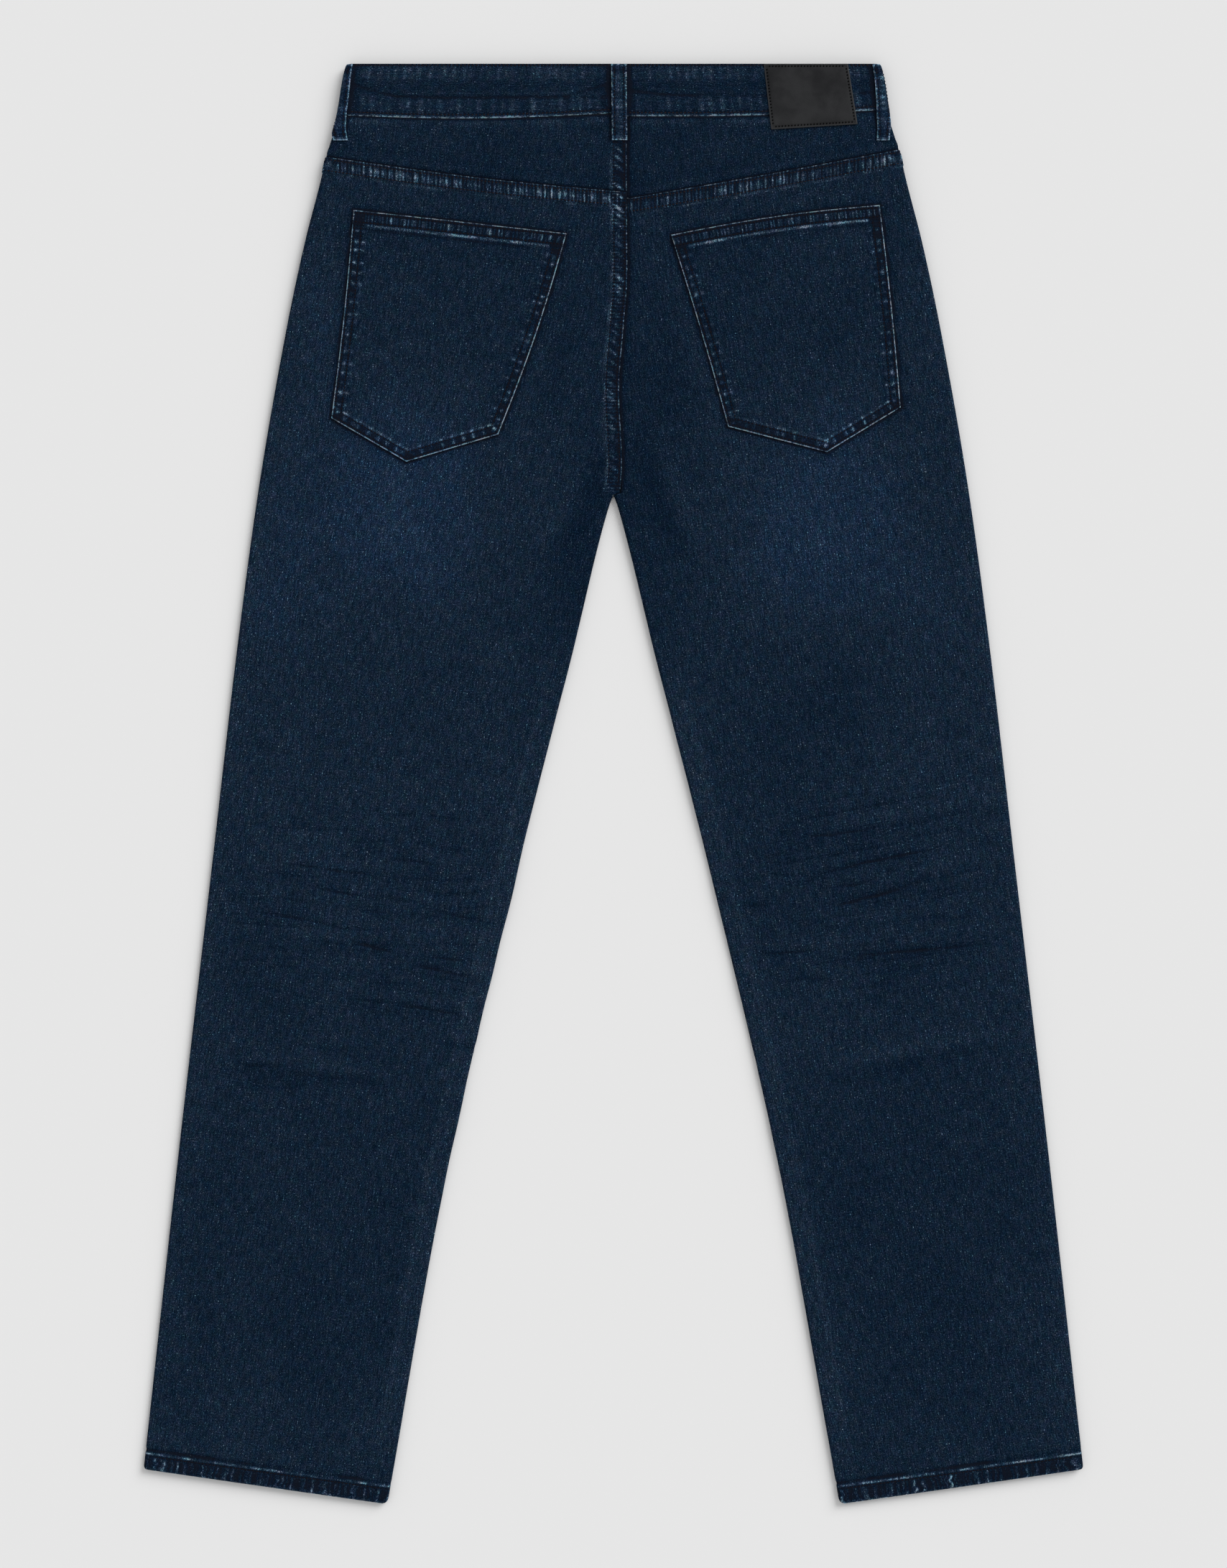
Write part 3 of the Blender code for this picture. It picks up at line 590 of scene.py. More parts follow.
def clothShell(name, outer, inner, values, grain, material, step=4, plain=None):
    # a closed wall: a fine outer skin, a plainer inner one and the edges between them. values holds a
    # number for each point, under the names that the material reads. plain is (first row, last row,
    # kept columns): between those rows only the kept columns are meshed.
    rows, columns = outer.shape[:2]
    first, last, kept = plain or (0, 0, range(columns))
    kept = np.array(sorted(kept))
    used = np.ones((rows, columns), bool)
    used[first + 1:last, np.setdiff1d(np.arange(columns), kept)] = False
    pickedRows, pickedColumns = pickEvery(rows, step), kept[pickEvery(len(kept), step)]
    ids = np.cumsum(used).reshape(rows, columns) - 1
    total = int(used.sum())
    innerIds = total + np.arange(len(pickedRows) * len(pickedColumns))
    innerIds = innerIds.reshape(len(pickedRows), len(pickedColumns))
    picked = np.ix_(pickedRows, pickedColumns)
    verts = np.concatenate([outer[used], inner[picked].reshape(-1, 3)])

    def quads(table):
        corners = (table[:-1, :-1], table[:-1, 1:], table[1:, 1:], table[1:, :-1])
        return np.stack([c.ravel() for c in corners], axis=1).tolist()

    faces = quads(ids[:first + 1]) + quads(ids[last:]) + quads(innerIds[:, ::-1])
    if last > first:
        faces += quads(ids[first + 1:last][:, kept])
        for a, b in zip(kept[:-1], kept[1:]):
            faces.append(
                [*ids[first, a:b + 1][::-1].tolist(), int(ids[first + 1, a]), int(ids[first + 1, b])]
            )
            faces.append([*ids[last, a:b + 1].tolist(), int(ids[last - 1, b]), int(ids[last - 1, a])])
    borders = [(ids[k, :], innerIds[k, :], pickedColumns) for k in (0, -1)]
    borders += [(ids[:, k], innerIds[:, k], pickedRows) for k in (0, -1)]
    for fine, plain, places in borders:
        for k in range(len(places) - 1):
            chain = fine[places[k]:places[k + 1] + 1]
            faces.append([*chain.tolist(), int(plain[k + 1]), int(plain[k])])
    mesh = bpy.data.meshes.new(name)
    mesh.from_pydata(verts.tolist(), [], faces)
    count = len(verts)
    for key, array in {**values, "inside": np.zeros((rows, columns))}.items():
        whole = np.ones(count)
        whole[:total] = array[used]
        if key != "inside":
            whole[total:] = array[picked].ravel()
        mesh.attributes.new(key, "FLOAT", "POINT").data.foreach_set("value", whole.astype(np.float32))
    uv = np.concatenate([grain[used], grain[picked].reshape(-1, 2)])
    return finishMesh(name, mesh, material, uv)


sharpFrom = 50  # degrees between two faces from which their edge is shaded sharp


def finishMesh(name, mesh, material, uv=None):
    bm = bmesh.new()
    bm.from_mesh(mesh)
    bmesh.ops.recalc_face_normals(bm, faces=bm.faces)
    bm.to_mesh(mesh)
    bm.free()
    if uv is not None:
        loopVerts = np.zeros(len(mesh.loops), np.int32)
        mesh.loops.foreach_get("vertex_index", loopVerts)
        layer = mesh.uv_layers.new(name="grain")
        layer.data.foreach_set("uv", uv[loopVerts].astype(np.float32).ravel())
    mesh.shade_smooth()
    mesh.set_sharp_from_angle(angle=math.radians(sharpFrom))
    mesh.materials.append(material)
    piece = bpy.data.objects.new(name, mesh)
    bpy.context.scene.collection.objects.link(piece)
    return piece


def grainOf(x, y, lean):
    # cloth coordinates in metres: across the warp, and along it. lean tilts the warp.
    c, s = math.cos(lean), math.sin(lean)
    return np.stack([c * x + s * y, -s * x + c * y], axis=-1)


# materials

def newMaterial(name):
    material = bpy.data.materials.new(name)
    material.use_nodes = True
    return material, material.node_tree, material.node_tree.nodes["Principled BSDF"]


def node(tree, kind, inputs=(), **settings):
    made = tree.nodes.new(kind)
    for key, value in settings.items():
        setattr(made, key, value)
    for key, value in dict(inputs).items():
        if isinstance(value, bpy.types.NodeSocket):
            tree.links.new(value, made.inputs[key])
        else:
            made.inputs[key].default_value = value
    return made


def maths(tree, operation, a, b=0.0, c=0.0):
    return node(tree, "ShaderNodeMath", {0: a, 1: b, 2: c}, operation=operation).outputs[0]


def clothNoise(tree, place, sizeX, sizeY, detail=2.0, roughness=0.5):
    # noise whose grains measure sizeX by sizeY metres
    scaled = node(
        tree, "ShaderNodeVectorMath", {0: place, 1: (1 / sizeX, 1 / sizeY, 0.0)}, operation="MULTIPLY"
    )
    made = node(
        tree,
        "ShaderNodeTexNoise",
        {"Vector": scaled.outputs[0], "Scale": 1.0, "Detail": detail, "Roughness": roughness},
        noise_dimensions="2D",
    )
    return made.outputs["Fac"]


def spread(tree, value, low, high, toLow=0.0, toHigh=1.0):
    made = node(
        tree,
        "ShaderNodeMapRange",
        {"Value": value, "From Min": low, "From Max": high, "To Min": toLow, "To Max": toHigh},
        interpolation_type="SMOOTHSTEP",
    )
    return made.outputs["Result"]


def attribute(tree, key):
    return node(tree, "ShaderNodeAttribute", attribute_name=key, attribute_type="GEOMETRY").outputs["Fac"]


def blend(tree, factor, low, high, **settings):
    # low turned into high by factor. Both are colours, as three numbers or as a socket.
    low, high = (c if isinstance(c, bpy.types.NodeSocket) else (*c, 1.0) for c in (low, high))
    inputs = {0: factor, 6: low, 7: high}
    return node(tree, "ShaderNodeMix", inputs, data_type="RGBA", **settings).outputs[2]


def objectNoise(tree, scale, detail):
    place = node(tree, "ShaderNodeTexCoord").outputs["Object"]
    inputs = {"Vector": place, "Scale": scale, "Detail": detail}
    return node(tree, "ShaderNodeTexNoise", inputs).outputs["Fac"]


def setSurface(tree, shader, colour, roughness, specular):
    tree.links.new(colour, shader.inputs["Base Color"])
    shader.inputs["Roughness"].default_value = roughness
    shader.inputs["Specular IOR Level"].default_value = specular


def setBump(tree, shader, height, strength, distance):
    bump = node(tree, "ShaderNodeBump", {"Height": height, "Strength": strength, "Distance": distance})
    tree.links.new(bump.outputs["Normal"], shader.inputs["Normal"])


yarns = {  # noise in the dye: size across and along the warp, detail, roughness, amount
    "speckle": (0.00085, 0.00105, 1.0, 0.6, 0.96),
    "streak": (0.0012, 0.0110, 2.0, 0.70, 0.62),
    "weft": (0.0050, 0.0009, 1.0, 0.5, 0.22),
    "cloud": (0.0050, 0.0080, 2.0, 0.65, 0.11),
    "broad": (0.020, 0.034, 2.0, 0.6, 0.07),
}
denim = {
    "level": 0.262,  # how light the dye is, on the ramp below
    "fleck": 0.44,
    "twill": 0.045,
    "twillPitch": 0.00135,
    "twillSlant": 59,
    "groove": 0.6,
    "edgeWear": 0.48,
    "edgeWidth": 0.0011,
    "roughness": 0.92,
    "specular": 0.02,
    "sheen": 0.006,
    "bump": 0.35,
    # the neutral dark that deep painted shade turns to
    "grooveShadeColour": (0.0070, 0.0080, 0.0132),
    "insideColour": (0.075, 0.092, 0.112),
    "ramp": (
        (0.00, (0.0006, 0.0042, 0.0130)),
        (0.15, (0.0022, 0.0088, 0.0215)),
        (0.32, (0.0064, 0.0155, 0.0320)),
        (0.55, (0.0205, 0.0350, 0.0610)),
        (0.80, (0.0790, 0.1180, 0.1620)),
        (1.00, (0.2100, 0.2900, 0.3500)),
    ),
}


def denimMaterial(name, level=0.0, edgeWear=1.0, streaks=1.0, edgeLow=0.12):
    material, tree, shader = newMaterial(name)
    place = node(tree, "ShaderNodeUVMap", uv_map="grain").outputs["UV"]
    fade, wearAndShade, edge, inside = (attribute(tree, key) for key in ("fade", "wearAndShade", "edge", "inside"))
    # specks and streaks along the warp, weft glints, flecks and the twill's ribs
    noises = {key: clothNoise(tree, place, *row[:4]) for key, row in yarns.items()}
    speckle, streak = noises["speckle"], noises["streak"]
    fleck = clothNoise(tree, place, 0.00105, 0.00125, 0.0, 0.5)
    parts = node(tree, "ShaderNodeSeparateXYZ", {0: place})
    slant = math.radians(denim["twillSlant"])
    across = maths(tree, "MULTIPLY", parts.outputs["X"], math.sin(slant) / denim["twillPitch"])
    along = maths(tree, "MULTIPLY", parts.outputs["Y"], -math.cos(slant) / denim["twillPitch"])
    waver = maths(tree, "MULTIPLY", speckle, 0.35)
    phase = maths(tree, "ADD", maths(tree, "ADD", across, along), waver)
    rib = maths(tree, "SINE", maths(tree, "MULTIPLY", phase, 2 * math.pi))

    total = denim["level"] + level
    for key, noise in noises.items():
        amount = yarns[key][4] * (streaks if key == "streak" else 1.0)
        total = maths(tree, "MULTIPLY_ADD", maths(tree, "SUBTRACT", noise, 0.5), amount, total)
    total = maths(tree, "MULTIPLY_ADD", spread(tree, fleck, 0.70, 0.92), denim["fleck"], total)
    total = maths(tree, "MULTIPLY_ADD", rib, denim["twill"], total)
    total = maths(tree, "ADD", total, fade)
    # wear on ridges and painted shade are broken up by the yarns, and folded edges are rubbed in a thin
    # line
    broken = spread(tree, clothNoise(tree, place, 0.0012, 0.0016, 2.0, 0.7), 0.30, 0.66, 0.45, 1.45)
    total = maths(tree, "MULTIPLY_ADD", wearAndShade, broken, total)
    rubbed = spread(tree, edge, denim["edgeWidth"], denim["edgeWidth"] * 0.3)
    uneven = spread(tree, clothNoise(tree, place, 0.0045, 0.0045, 3.0, 0.7), 0.36, 0.66, edgeLow, 1.35)
    rubbed = maths(tree, "MULTIPLY", rubbed, uneven)
    total = maths(tree, "MULTIPLY_ADD", rubbed, denim["edgeWear"] * edgeWear, total)

    ramp = node(tree, "ShaderNodeValToRGB", {0: total})
    stops = ramp.color_ramp.elements
    while len(stops) < len(denim["ramp"]):
        stops.new(0.5)
    for stop, (position, colour) in zip(stops, denim["ramp"]):
        stop.position = position
        stop.color = (*colour, 1.0)
    # the dye leans warmer or bluer in places, its light specks are bluer than the dark ones,
    # worn ridges turn a clearer blue, and deep painted shade, beside stitches and in crevices, turns a
    # neutral dark
    warm = clothNoise(tree, place, 0.0060, 0.0082, 4.0, 0.8)
    deep = clothNoise(tree, place, 0.0074, 0.0068, 4.0, 0.8)
    yarn = maths(tree, "MULTIPLY_ADD", streak, 0.5, maths(tree, "MULTIPLY", speckle, 0.5))
    even = (1.0, 1.0, 1.0)
    tints = (  # what turns one tint into the other, from and to which value, and the two tints
        (warm, 0.30, 0.70, (0.70, 1.0, 1.0), (1.30, 1.0, 1.0)),
        (deep, 0.30, 0.70, (1.0, 1.0, 0.89), (1.0, 1.0, 1.12)),
        (yarn, 0.34, 0.66, (1.15, 1.0, 0.95), (0.87, 1.0, 1.03)),
        (fleck, 0.70, 0.88, even, (0.92, 1.0, 1.01)),
        (fade, 0.015, 0.085, even, (0.86, 1.0, 1.14)),
        (wearAndShade, 0.04, 0.30, even, (0.93, 1.0, 1.04)),
    )
    dyeAndShade = ramp.outputs["Color"]
    for source, low, high, lowTint, highTint in tints:
        tint = blend(tree, spread(tree, source, low, high), lowTint, highTint)
        dyeAndShade = blend(tree, 1.0, dyeAndShade, tint, blend_type="MULTIPLY")
    dyeAndShade = blend(tree, spread(tree, wearAndShade, -0.05, -0.26, 0.0, denim["groove"]), dyeAndShade, denim["grooveShadeColour"])
    dyeAndShade = blend(tree, spread(tree, inside, 0.35, 0.75), dyeAndShade, denim["insideColour"])
    setSurface(tree, shader, dyeAndShade, denim["roughness"], denim["specular"])
    relief = maths(tree, "MULTIPLY_ADD", rib, 0.35, maths(tree, "ADD", streak, speckle))
    setBump(tree, shader, relief, denim["bump"], 0.00016)
    shader.inputs["Sheen Weight"].default_value = denim["sheen"]
    shader.inputs["Sheen Roughness"].default_value = 0.6
    return material


def threadMaterial(name, colour):
    material, tree, shader = newMaterial(name)
    dark, light = ([c * amount for c in colour] for amount in (0.55, 1.6))
    setSurface(tree, shader, blend(tree, objectNoise(tree, 900.0, 2.0), dark, light), 0.8, 0.04)
    return material


leather = {
    "dark": (0.0098, 0.0102, 0.0116),
    "light": (0.0215, 0.0222, 0.0238),
    # painted highlight along the patch's raised rim
    "rim": (0.034, 0.035, 0.037),
    # painted shade in the groove of the row of stitches
    "stitchRowShade": (0.006, 0.006, 0.007),  # along the row of stitches
    "row": 0.0019,
    "roughness": 0.62,
    "specular": 0.12,
}


def leatherMaterial():
    material, tree, shader = newMaterial("blackLeather")
    place = node(tree, "ShaderNodeTexCoord").outputs["Object"]
    pores = node(tree, "ShaderNodeTexVoronoi", {"Vector": place, "Scale": 1500.0}).outputs["Distance"]
    cloud, edge = objectNoise(tree, 60.0, 4.0), attribute(tree, "edge")
    tint = blend(tree, spread(tree, cloud, 0.3, 0.7), leather["dark"], leather["light"])
    # painted highlight on the raised rim
    tint = blend(tree, spread(tree, edge, 0.0012, 0.0004, 0.0, 0.9), tint, leather["rim"])
    off = maths(tree, "ABSOLUTE", maths(tree, "SUBTRACT", edge, leather["row"]))
    # painted shade in the groove along the row of stitches
    tint = blend(tree, spread(tree, off, 0.0011, 0.0005, 0.0, 0.30), tint, leather["stitchRowShade"])
    setSurface(tree, shader, tint, leather["roughness"], leather["specular"])
    setBump(tree, shader, pores, 0.25, 0.0002)
    return material


metal = {"stain": (0.20, 0.19, 0.18), "bare": (0.45, 0.44, 0.42), "roughness": (0.45, 0.28)}


def metalMaterial():
    material, tree, shader = newMaterial("agedMetal")
    stain = objectNoise(tree, 700.0, 3.0)
    tint = blend(tree, spread(tree, stain, 0.35, 0.7), metal["stain"], metal["bare"])
    tree.links.new(tint, shader.inputs["Base Color"])
    tree.links.new(spread(tree, stain, 0.3, 0.7, *metal["roughness"]), shader.inputs["Roughness"])
    shader.inputs["Metallic"].default_value = 1.0
    return material


legDenim = denimMaterial("legDenim")
yokeDenim = denimMaterial("yokeDenim", level=-0.036, streaks=0.8)
bandDenim = denimMaterial("bandDenim", level=-0.012, streaks=0.7, edgeWear=1.1)
pocketDenim = denimMaterial("pocketDenim", level=-0.004, edgeWear=1.7, edgeLow=0.5)
loopDenim = denimMaterial("loopDenim", level=-0.006, edgeWear=0.95, streaks=0.7)
darkThread = threadMaterial("darkThread", (0.0100, 0.0068, 0.0080))
rustThread = threadMaterial("rustThread", (0.0190, 0.0120, 0.0115))
blackLeather = leatherMaterial()
agedMetal = metalMaterial()
print("materials ready")


# where the back pockets lie, in plan

pocketCorners = {
    left: {
        "outerTop": (0.2045, 0.1154),
        "innerTop": (0.0370, 0.1336),
        "innerFoot": (0.0908, 0.2917),
        "tip": (0.1631, 0.3132),
        "outerFoot": (0.2222, 0.2788),
    },
    right: {
        "outerTop": (0.2095, 0.1113),
        "innerTop": (0.0453, 0.1348),
        "innerFoot": (0.0903, 0.2856),
        "tip": (0.1681, 0.3056),
        "outerFoot": (0.2261, 0.2704),
    },
}
pocket = {
    "tipShare": 0.45,
    "gridSize": (0.15, 0.165),  # width and height that its rows and columns are spaced by
    "wall": 0.0010,
    "hem": 0.0112,
    "hemRows": (0.0019, 0.0090),  # rows of stitches down from the top edge
    "sideRows": (0.0019, 0.0072),  # and in from the other edges
    "topBow": {left: 0.0, right: -0.0028},
    "innerBow": {left: -0.0029, right: 0.0010},
    "outerBow": {left: 0.0012, right: -0.0010},
    "hemRise": 0.0005,
    "rungPitch": 0.0066,  # puckers in the hem
    "rungWidth": 0.0008,
    "rungHeight": 0.00028,
    "rungWear": 0.95,
    "ladderWidth": 0.00065,
    "hemShade": 0.13,
    "hemFootWear": 0.80,
    "tickPitch": 0.0080,  # puckers down the two long sides
    "tickWidth": 0.0011,
    "tickHeight": 0.00035,
    "tickWear": 1.15,
    "footPitch": 0.0082,  # puckers along the two lower edges
    "footWidth": 0.0013,
    "footHeight": 0.00028,
    "footWear": 0.85,
    "hemRowDepth": 0.00024,
    "sideRowDepth": 0.00022,
    "sideRowShade": 0.15,
    "cornerShade": 0.19,
    "cornerWear": 0.26,
}


sideKeys = ("inner", "innerFoot", "outerFoot", "outer")  # all of a pocket's edges but its top


def pocketPlan(side, share, fall):
    # across and down inside a pocket: share 0 is its outer edge, fall 0 its top edge
    corner = {key: np.array(value) for key, value in pocketCorners[side].items()}
    share, fall = np.broadcast_arrays(share, fall)
    tip = pocket["tipShare"]
    s, f = share[..., None], fall[..., None]
    top = mix(corner["outerTop"], corner["innerTop"], s)
    outerFoot = mix(corner["outerFoot"], corner["tip"], s / tip)
    innerFoot = mix(corner["tip"], corner["innerFoot"], (s - tip) / (1 - tip))
    foot = np.where(s < tip, outerFoot, innerFoot)
    place = mix(top, foot, f)
    across = place[..., 0] + pocket["innerBow"][side] * share * np.sin(np.pi * fall)
    across = across - pocket["outerBow"][side] * (1 - share) * np.sin(np.pi * fall)
    down = place[..., 1] + pocket["topBow"][side] * np.sin(np.pi * share) * (1 - fall)
    return across, down


def pocketEdges(side):
    # the pocket's five edges as dense lines in plan, by name
    run = np.linspace(0, 1, 160)
    tip = pocket["tipShare"]
    return {
        "top": pocketPlan(side, run, 0 * run),
        "inner": pocketPlan(side, 0 * run + 1, run),
        "innerFoot": pocketPlan(side, mix(1.0, tip, run), 0 * run + 1),
        "outerFoot": pocketPlan(side, mix(tip, 0.0, run), 0 * run + 1),
        "outer": pocketPlan(side, 0 * run, 1 - run),
    }


def distanceTo(line, across, down):
    # distance from each place to a dense line, and how far along the line that is
    la, ld = line
    lengths = np.concatenate([[0], np.cumsum(np.hypot(np.diff(la), np.diff(ld)))])
    best = np.full(across.shape, 9.0)
    along = np.zeros(across.shape)
    for k in range(len(la) - 1):
        a = np.array([la[k], ld[k]])
        v = np.array([la[k + 1], ld[k + 1]]) - a
        t = np.clip(((across - a[0]) * v[0] + (down - a[1]) * v[1]) / (v @ v), 0, 1)
        gap = np.hypot(across - a[0] - t * v[0], down - a[1] - t * v[1])
        closer = gap < best
        best = np.where(closer, gap, best)
        along = np.where(closer, lengths[k] + t * (lengths[k + 1] - lengths[k]), along)
    return best, along


def besidePocket(side, across, down):
    # distance from places on the leg to the rim of its pocket
    far = np.full(across.shape, 0.05)
    near = (down > 0.100) & (down < 0.325) & (across > 0.025) & (across < 0.240)
    for line in pocketEdges(side).values():
        away, _ = distanceTo((line[0][::5], line[1][::5]), across[near], down[near])
        far[near] = np.minimum(far[near], away)
    return far


# legs, front and back

def spacing(*runs):
    # numbers from the first run's start on, in runs of (end, step)
    start, values = runs[0], [runs[0]]
    for end, step in runs[1:]:
        count = max(1, round((end - start) / step))
        values += [mix(start, end, (k + 1) / count) for k in range(count)]
        start = end
    return np.array(values)


def slantTable(firstInner, firstOuter):
    # the lines across a leg panel, which take over from its own top line soon below it
    seamFoot = 0.014
    rows = [("first", firstInner, firstOuter), ("seam", firstInner + seamFoot, firstOuter + seamFoot)]
    rows += [(key, *pair) for key, pair in slantRows.items() if pair[0] > firstInner + 2 * seamFoot]
    return rows


arcAngles = np.radians([0, 12, 24, 36, 48, 60, 72, 82, 90])
warpLean = 0.17  # how far the legs' warp leans out, in radians
topBowFade = 0.10  # how far down a panel the bow of its top line dies out


def panelPlan(layer, side, line, innerDowns, fineInner, middleStep, split=1):
    # places in plan of a panel's points, whose rows run across the leg, and the columns that its plain
    # middle keeps. split is how many fine columns make a plain one.
    table = slantTable(line[0], line[1])
    innerDown = innerDowns[:, None]
    outerDown = readTable(table, innerDown)
    bow = line[2] * (1 - ease((innerDown - line[0]) / topBowFade))
    half = levels((innerDown + outerDown) / 2)[1]
    inner, outer = innerEdge(layer, side, innerDown), outerEdge(outerDown)
    up = np.clip(seam["corner"] - (hemLine[0] - innerDown), 0, seam["corner"])
    corner = seam["corner"] - np.sqrt(seam["corner"] ** 2 - up**2)
    inner, outer = inner + corner, outer - corner
    width = outer - inner
    turn = crotchShare(innerDown)
    insetIn = np.concatenate([
        mix(half * 0.25 * (1 - np.cos(arcAngles[:-1])), half * (1 - np.cos(arcAngles[:-1])), turn),
        mix(half * 0.25, half, turn) + fineInner[None, :],
    ], axis=1)
    insetOut = half * (1 - np.cos(arcAngles))[None, ::-1]
    soft = 0.0020 * np.arange(4, 0, -1)[None, :]
    insetOut = np.concatenate([half + soft, insetOut], axis=1)
    count = max(4, round(float(np.max(width)) / middleStep))
    start, end = insetIn[:, -1:], width - insetOut[:, :1]
    steps = np.arange(1, count * split)
    middle = start + (end - start) * (steps / (count * split))[None, :]
    offsets = np.concatenate([insetIn, middle, width - insetOut], axis=1)
    before = insetIn.shape[1]
    kept = [
        *range(before),
        *(before + np.flatnonzero(steps % split == 0)),
        *range(before + len(steps), offsets.shape[1]),
    ]
    share = offsets / width
    down = mix(innerDown, outerDown, share) + bow * np.sin(np.pi * share)
    across = mix(inner, outer, share)
    return across, down, share, kept


def centreRelief(off, down):
    # the felled centre back seam, whose puckers lean
    height, wearAndShade = seamRelief(off, down, 70, lean=0.75, pitch=0.0076, width=0.0013, strength=1.12)
    high = 1 + 0.18 * window(down, 0.060, 0.112, 0.010)
    beside = 0.40 * high * bell(off - seam["width"] + 0.0003, 0.0008)
    wearAndShade = wearAndShade * high + beside * patches(down, 0.013, 76, 0.4)
    wearAndShade = wearAndShade + 0.10 * bell(off - 0.0064, 0.0016) * patches(down, 0.020, 78, 0.0)
    return height, wearAndShade


legWear = {"stripRise": 0.00030, "strip": 0.042, "stripEdge": 0.038, "outseam": 0.055, "inseam": 0.045}


def underLap(fromSeam):
    # lift and painted shadow beside the fold of the centre seam, on the side that it laps over
    shade = 0.26 * bell(fromSeam, 0.0020) + 0.05 * bell(fromSeam, 0.0070)
    return -0.0007 * bell(fromSeam, 0.0022), -shade


def backRelief(side, across, down, share):
    # lift of a back leg panel's outer face, and its wear with painted shade and painted highlights
    inner = innerEdge("back", side, down)
    fromSeam = across - inner
    below = down - lineDown(yokeLine[side], share)
    up = (lineDown(hemLine, share) - down) * 0.99
    lift = swell(side, across, down) * ease(below / 0.05) * ease(up / 0.05)
    lift = lift * ease((outerEdge(down) - across) / 0.02)
    sharp, soft = creaseField(side, across, down)
    taken = creased["back"]
    lift = lift - taken["sharpDepth"] * sharp - taken["softDepth"] * soft
    # painted shade in the creases and fold hollows, and a painted highlight on their lips and ridges
    wearAndShade = -taken["sharpShade"] * sharp - taken["softShade"] * soft
    # the seam allowance inside the inseam stands out as a lighter strip
    inseam = innerEdge("back", side, np.maximum(down, inSeam[0][1] + 0.001))
    off = across - inseam
    strip = window(down, 0.470, 1.085, 0.09)
    lift = lift + legWear["stripRise"] * strip * ease((0.0190 - off) / 0.002)
    flat, ridge = ease((0.0185 - off) / 0.0025), bell(off - 0.0145, 0.0028)
    wearAndShade = wearAndShade + strip * (legWear["strip"] * flat + legWear["stripEdge"] * ridge)
    rubbed = np.exp(-(outerEdge(down) - across) / 0.009) * window(down, 0.16, 1.2, 0.10)
    wearAndShade = wearAndShade + legWear["outseam"] * rubbed + legWear["inseam"] * strip * np.exp(-off / 0.0022)
    # the yoke seam: its relief, and its wear with painted shade in its rows of stitches
    seamLift, seamWear = seamRelief(below, across, 60 + side, width=0.0014)
    lift, wearAndShade = lift + seamLift, wearAndShade + seamWear
    hemLift, hemWearAndShade = hemRelief(up, across, 80 + side)
    sides = np.minimum(outerEdge(down) - across, off)
    hemLift = np.where(hemLift > 0, hemLift * ease(sides / 0.005), hemLift)
    near = up < 0.04
    lift, wearAndShade = lift + np.where(near, hemLift, 0), wearAndShade + np.where(near, hemWearAndShade, 0)
    rise = 1 - ease((down - 0.330) / 0.012)
    if side == left:
        centreLift, centreWearAndShade = centreRelief(fromSeam, down)
        notTwice = ease(below / 0.002)
        lift, wearAndShade = lift + rise * notTwice * centreLift, wearAndShade + rise * notTwice * centreWearAndShade
        edge = np.minimum(below, np.where(rise > 0.5, fromSeam, 1.0))
    else:
        lapLift, lapShade = underLap(fromSeam)
        lift, wearAndShade = lift + rise * lapLift, wearAndShade + rise * lapShade
        edge = below
    rim = besidePocket(side, across, down)
    lift = lift - 0.0003 * bell(rim, 0.0022)
    # painted shadow in the crevice round the pocket, darkest just outside its rim
    wearAndShade = wearAndShade - 0.42 * bell(rim - 0.0003, 0.0011) - 0.06 * bell(rim, 0.0050)
    edge = np.minimum(edge, np.where(up < 0.003, up + 0.0003, 1.0))
    return lift, wearAndShade, np.clip(edge, 0.0, 0.02)


def hemPly(down, share):
    # how much thicker the turned hem makes a leg's wall
    return 0.0010 * ease((1.6 * seam["hem"] - (lineDown(hemLine, share) - down)) / 0.004)


def legBack(side):
    line = yokeLine[side]
    downs = spacing(  # rows of points: where from, then how far down and how far apart
        line[0] + seam["gap"] / 2,
        (line[0] + 0.0150, 0.0006),
        (line[0] + 0.030, 0.0013),
        (0.3420, 0.0014),
        (0.5700, 0.0050),
        (0.7600, 0.0008),
        (0.8200, 0.0016),
        (1.1000, 0.0050),
        (1.1130, 0.0016),
        (1.1340, 0.0006),
    )
    first = int(np.searchsorted(downs, line[0] + 0.018))
    last = int(np.searchsorted(downs, 1.1130)) + 1
    fine = spacing(0.0, (0.008, 0.0010))
    if side == left:  # the felled centre seam takes closer columns
        fine = spacing(0.0, (0.0020, 0.0005), (0.0140, 0.0009), (0.0180, 0.0013))
    across, down, share, kept = panelPlan("back", side, line, downs, fine, 0.0036, split=4)
    lift, wearAndShade, edge = backRelief(side, across, down, share)
    outer, _ = clothPoint("back", side, across, down, lift)
    broad = np.minimum(lift, 0.0) - 0.15 * np.abs(lift)
    inner, _ = clothPoint("back", side, across, down, broad - seam["wall"] - hemPly(down, share))
    x, y = outer[..., 0], outer[..., 1]
    values = {"wearAndShade": wearAndShade, "edge": edge, "fade": fadeAt(x, down)}
    name = words[side] + "LegBack"
    grain = grainOf(x, y, side * warpLean)
    return clothShell(name, outer, inner, values, grain, legDenim, plain=(first, last, kept))


fly = {"width": 0.030, "turnFrom": 0.140, "turn": 0.045, "foot": 0.195, "depth": 0.00022, "shade": 0.22}


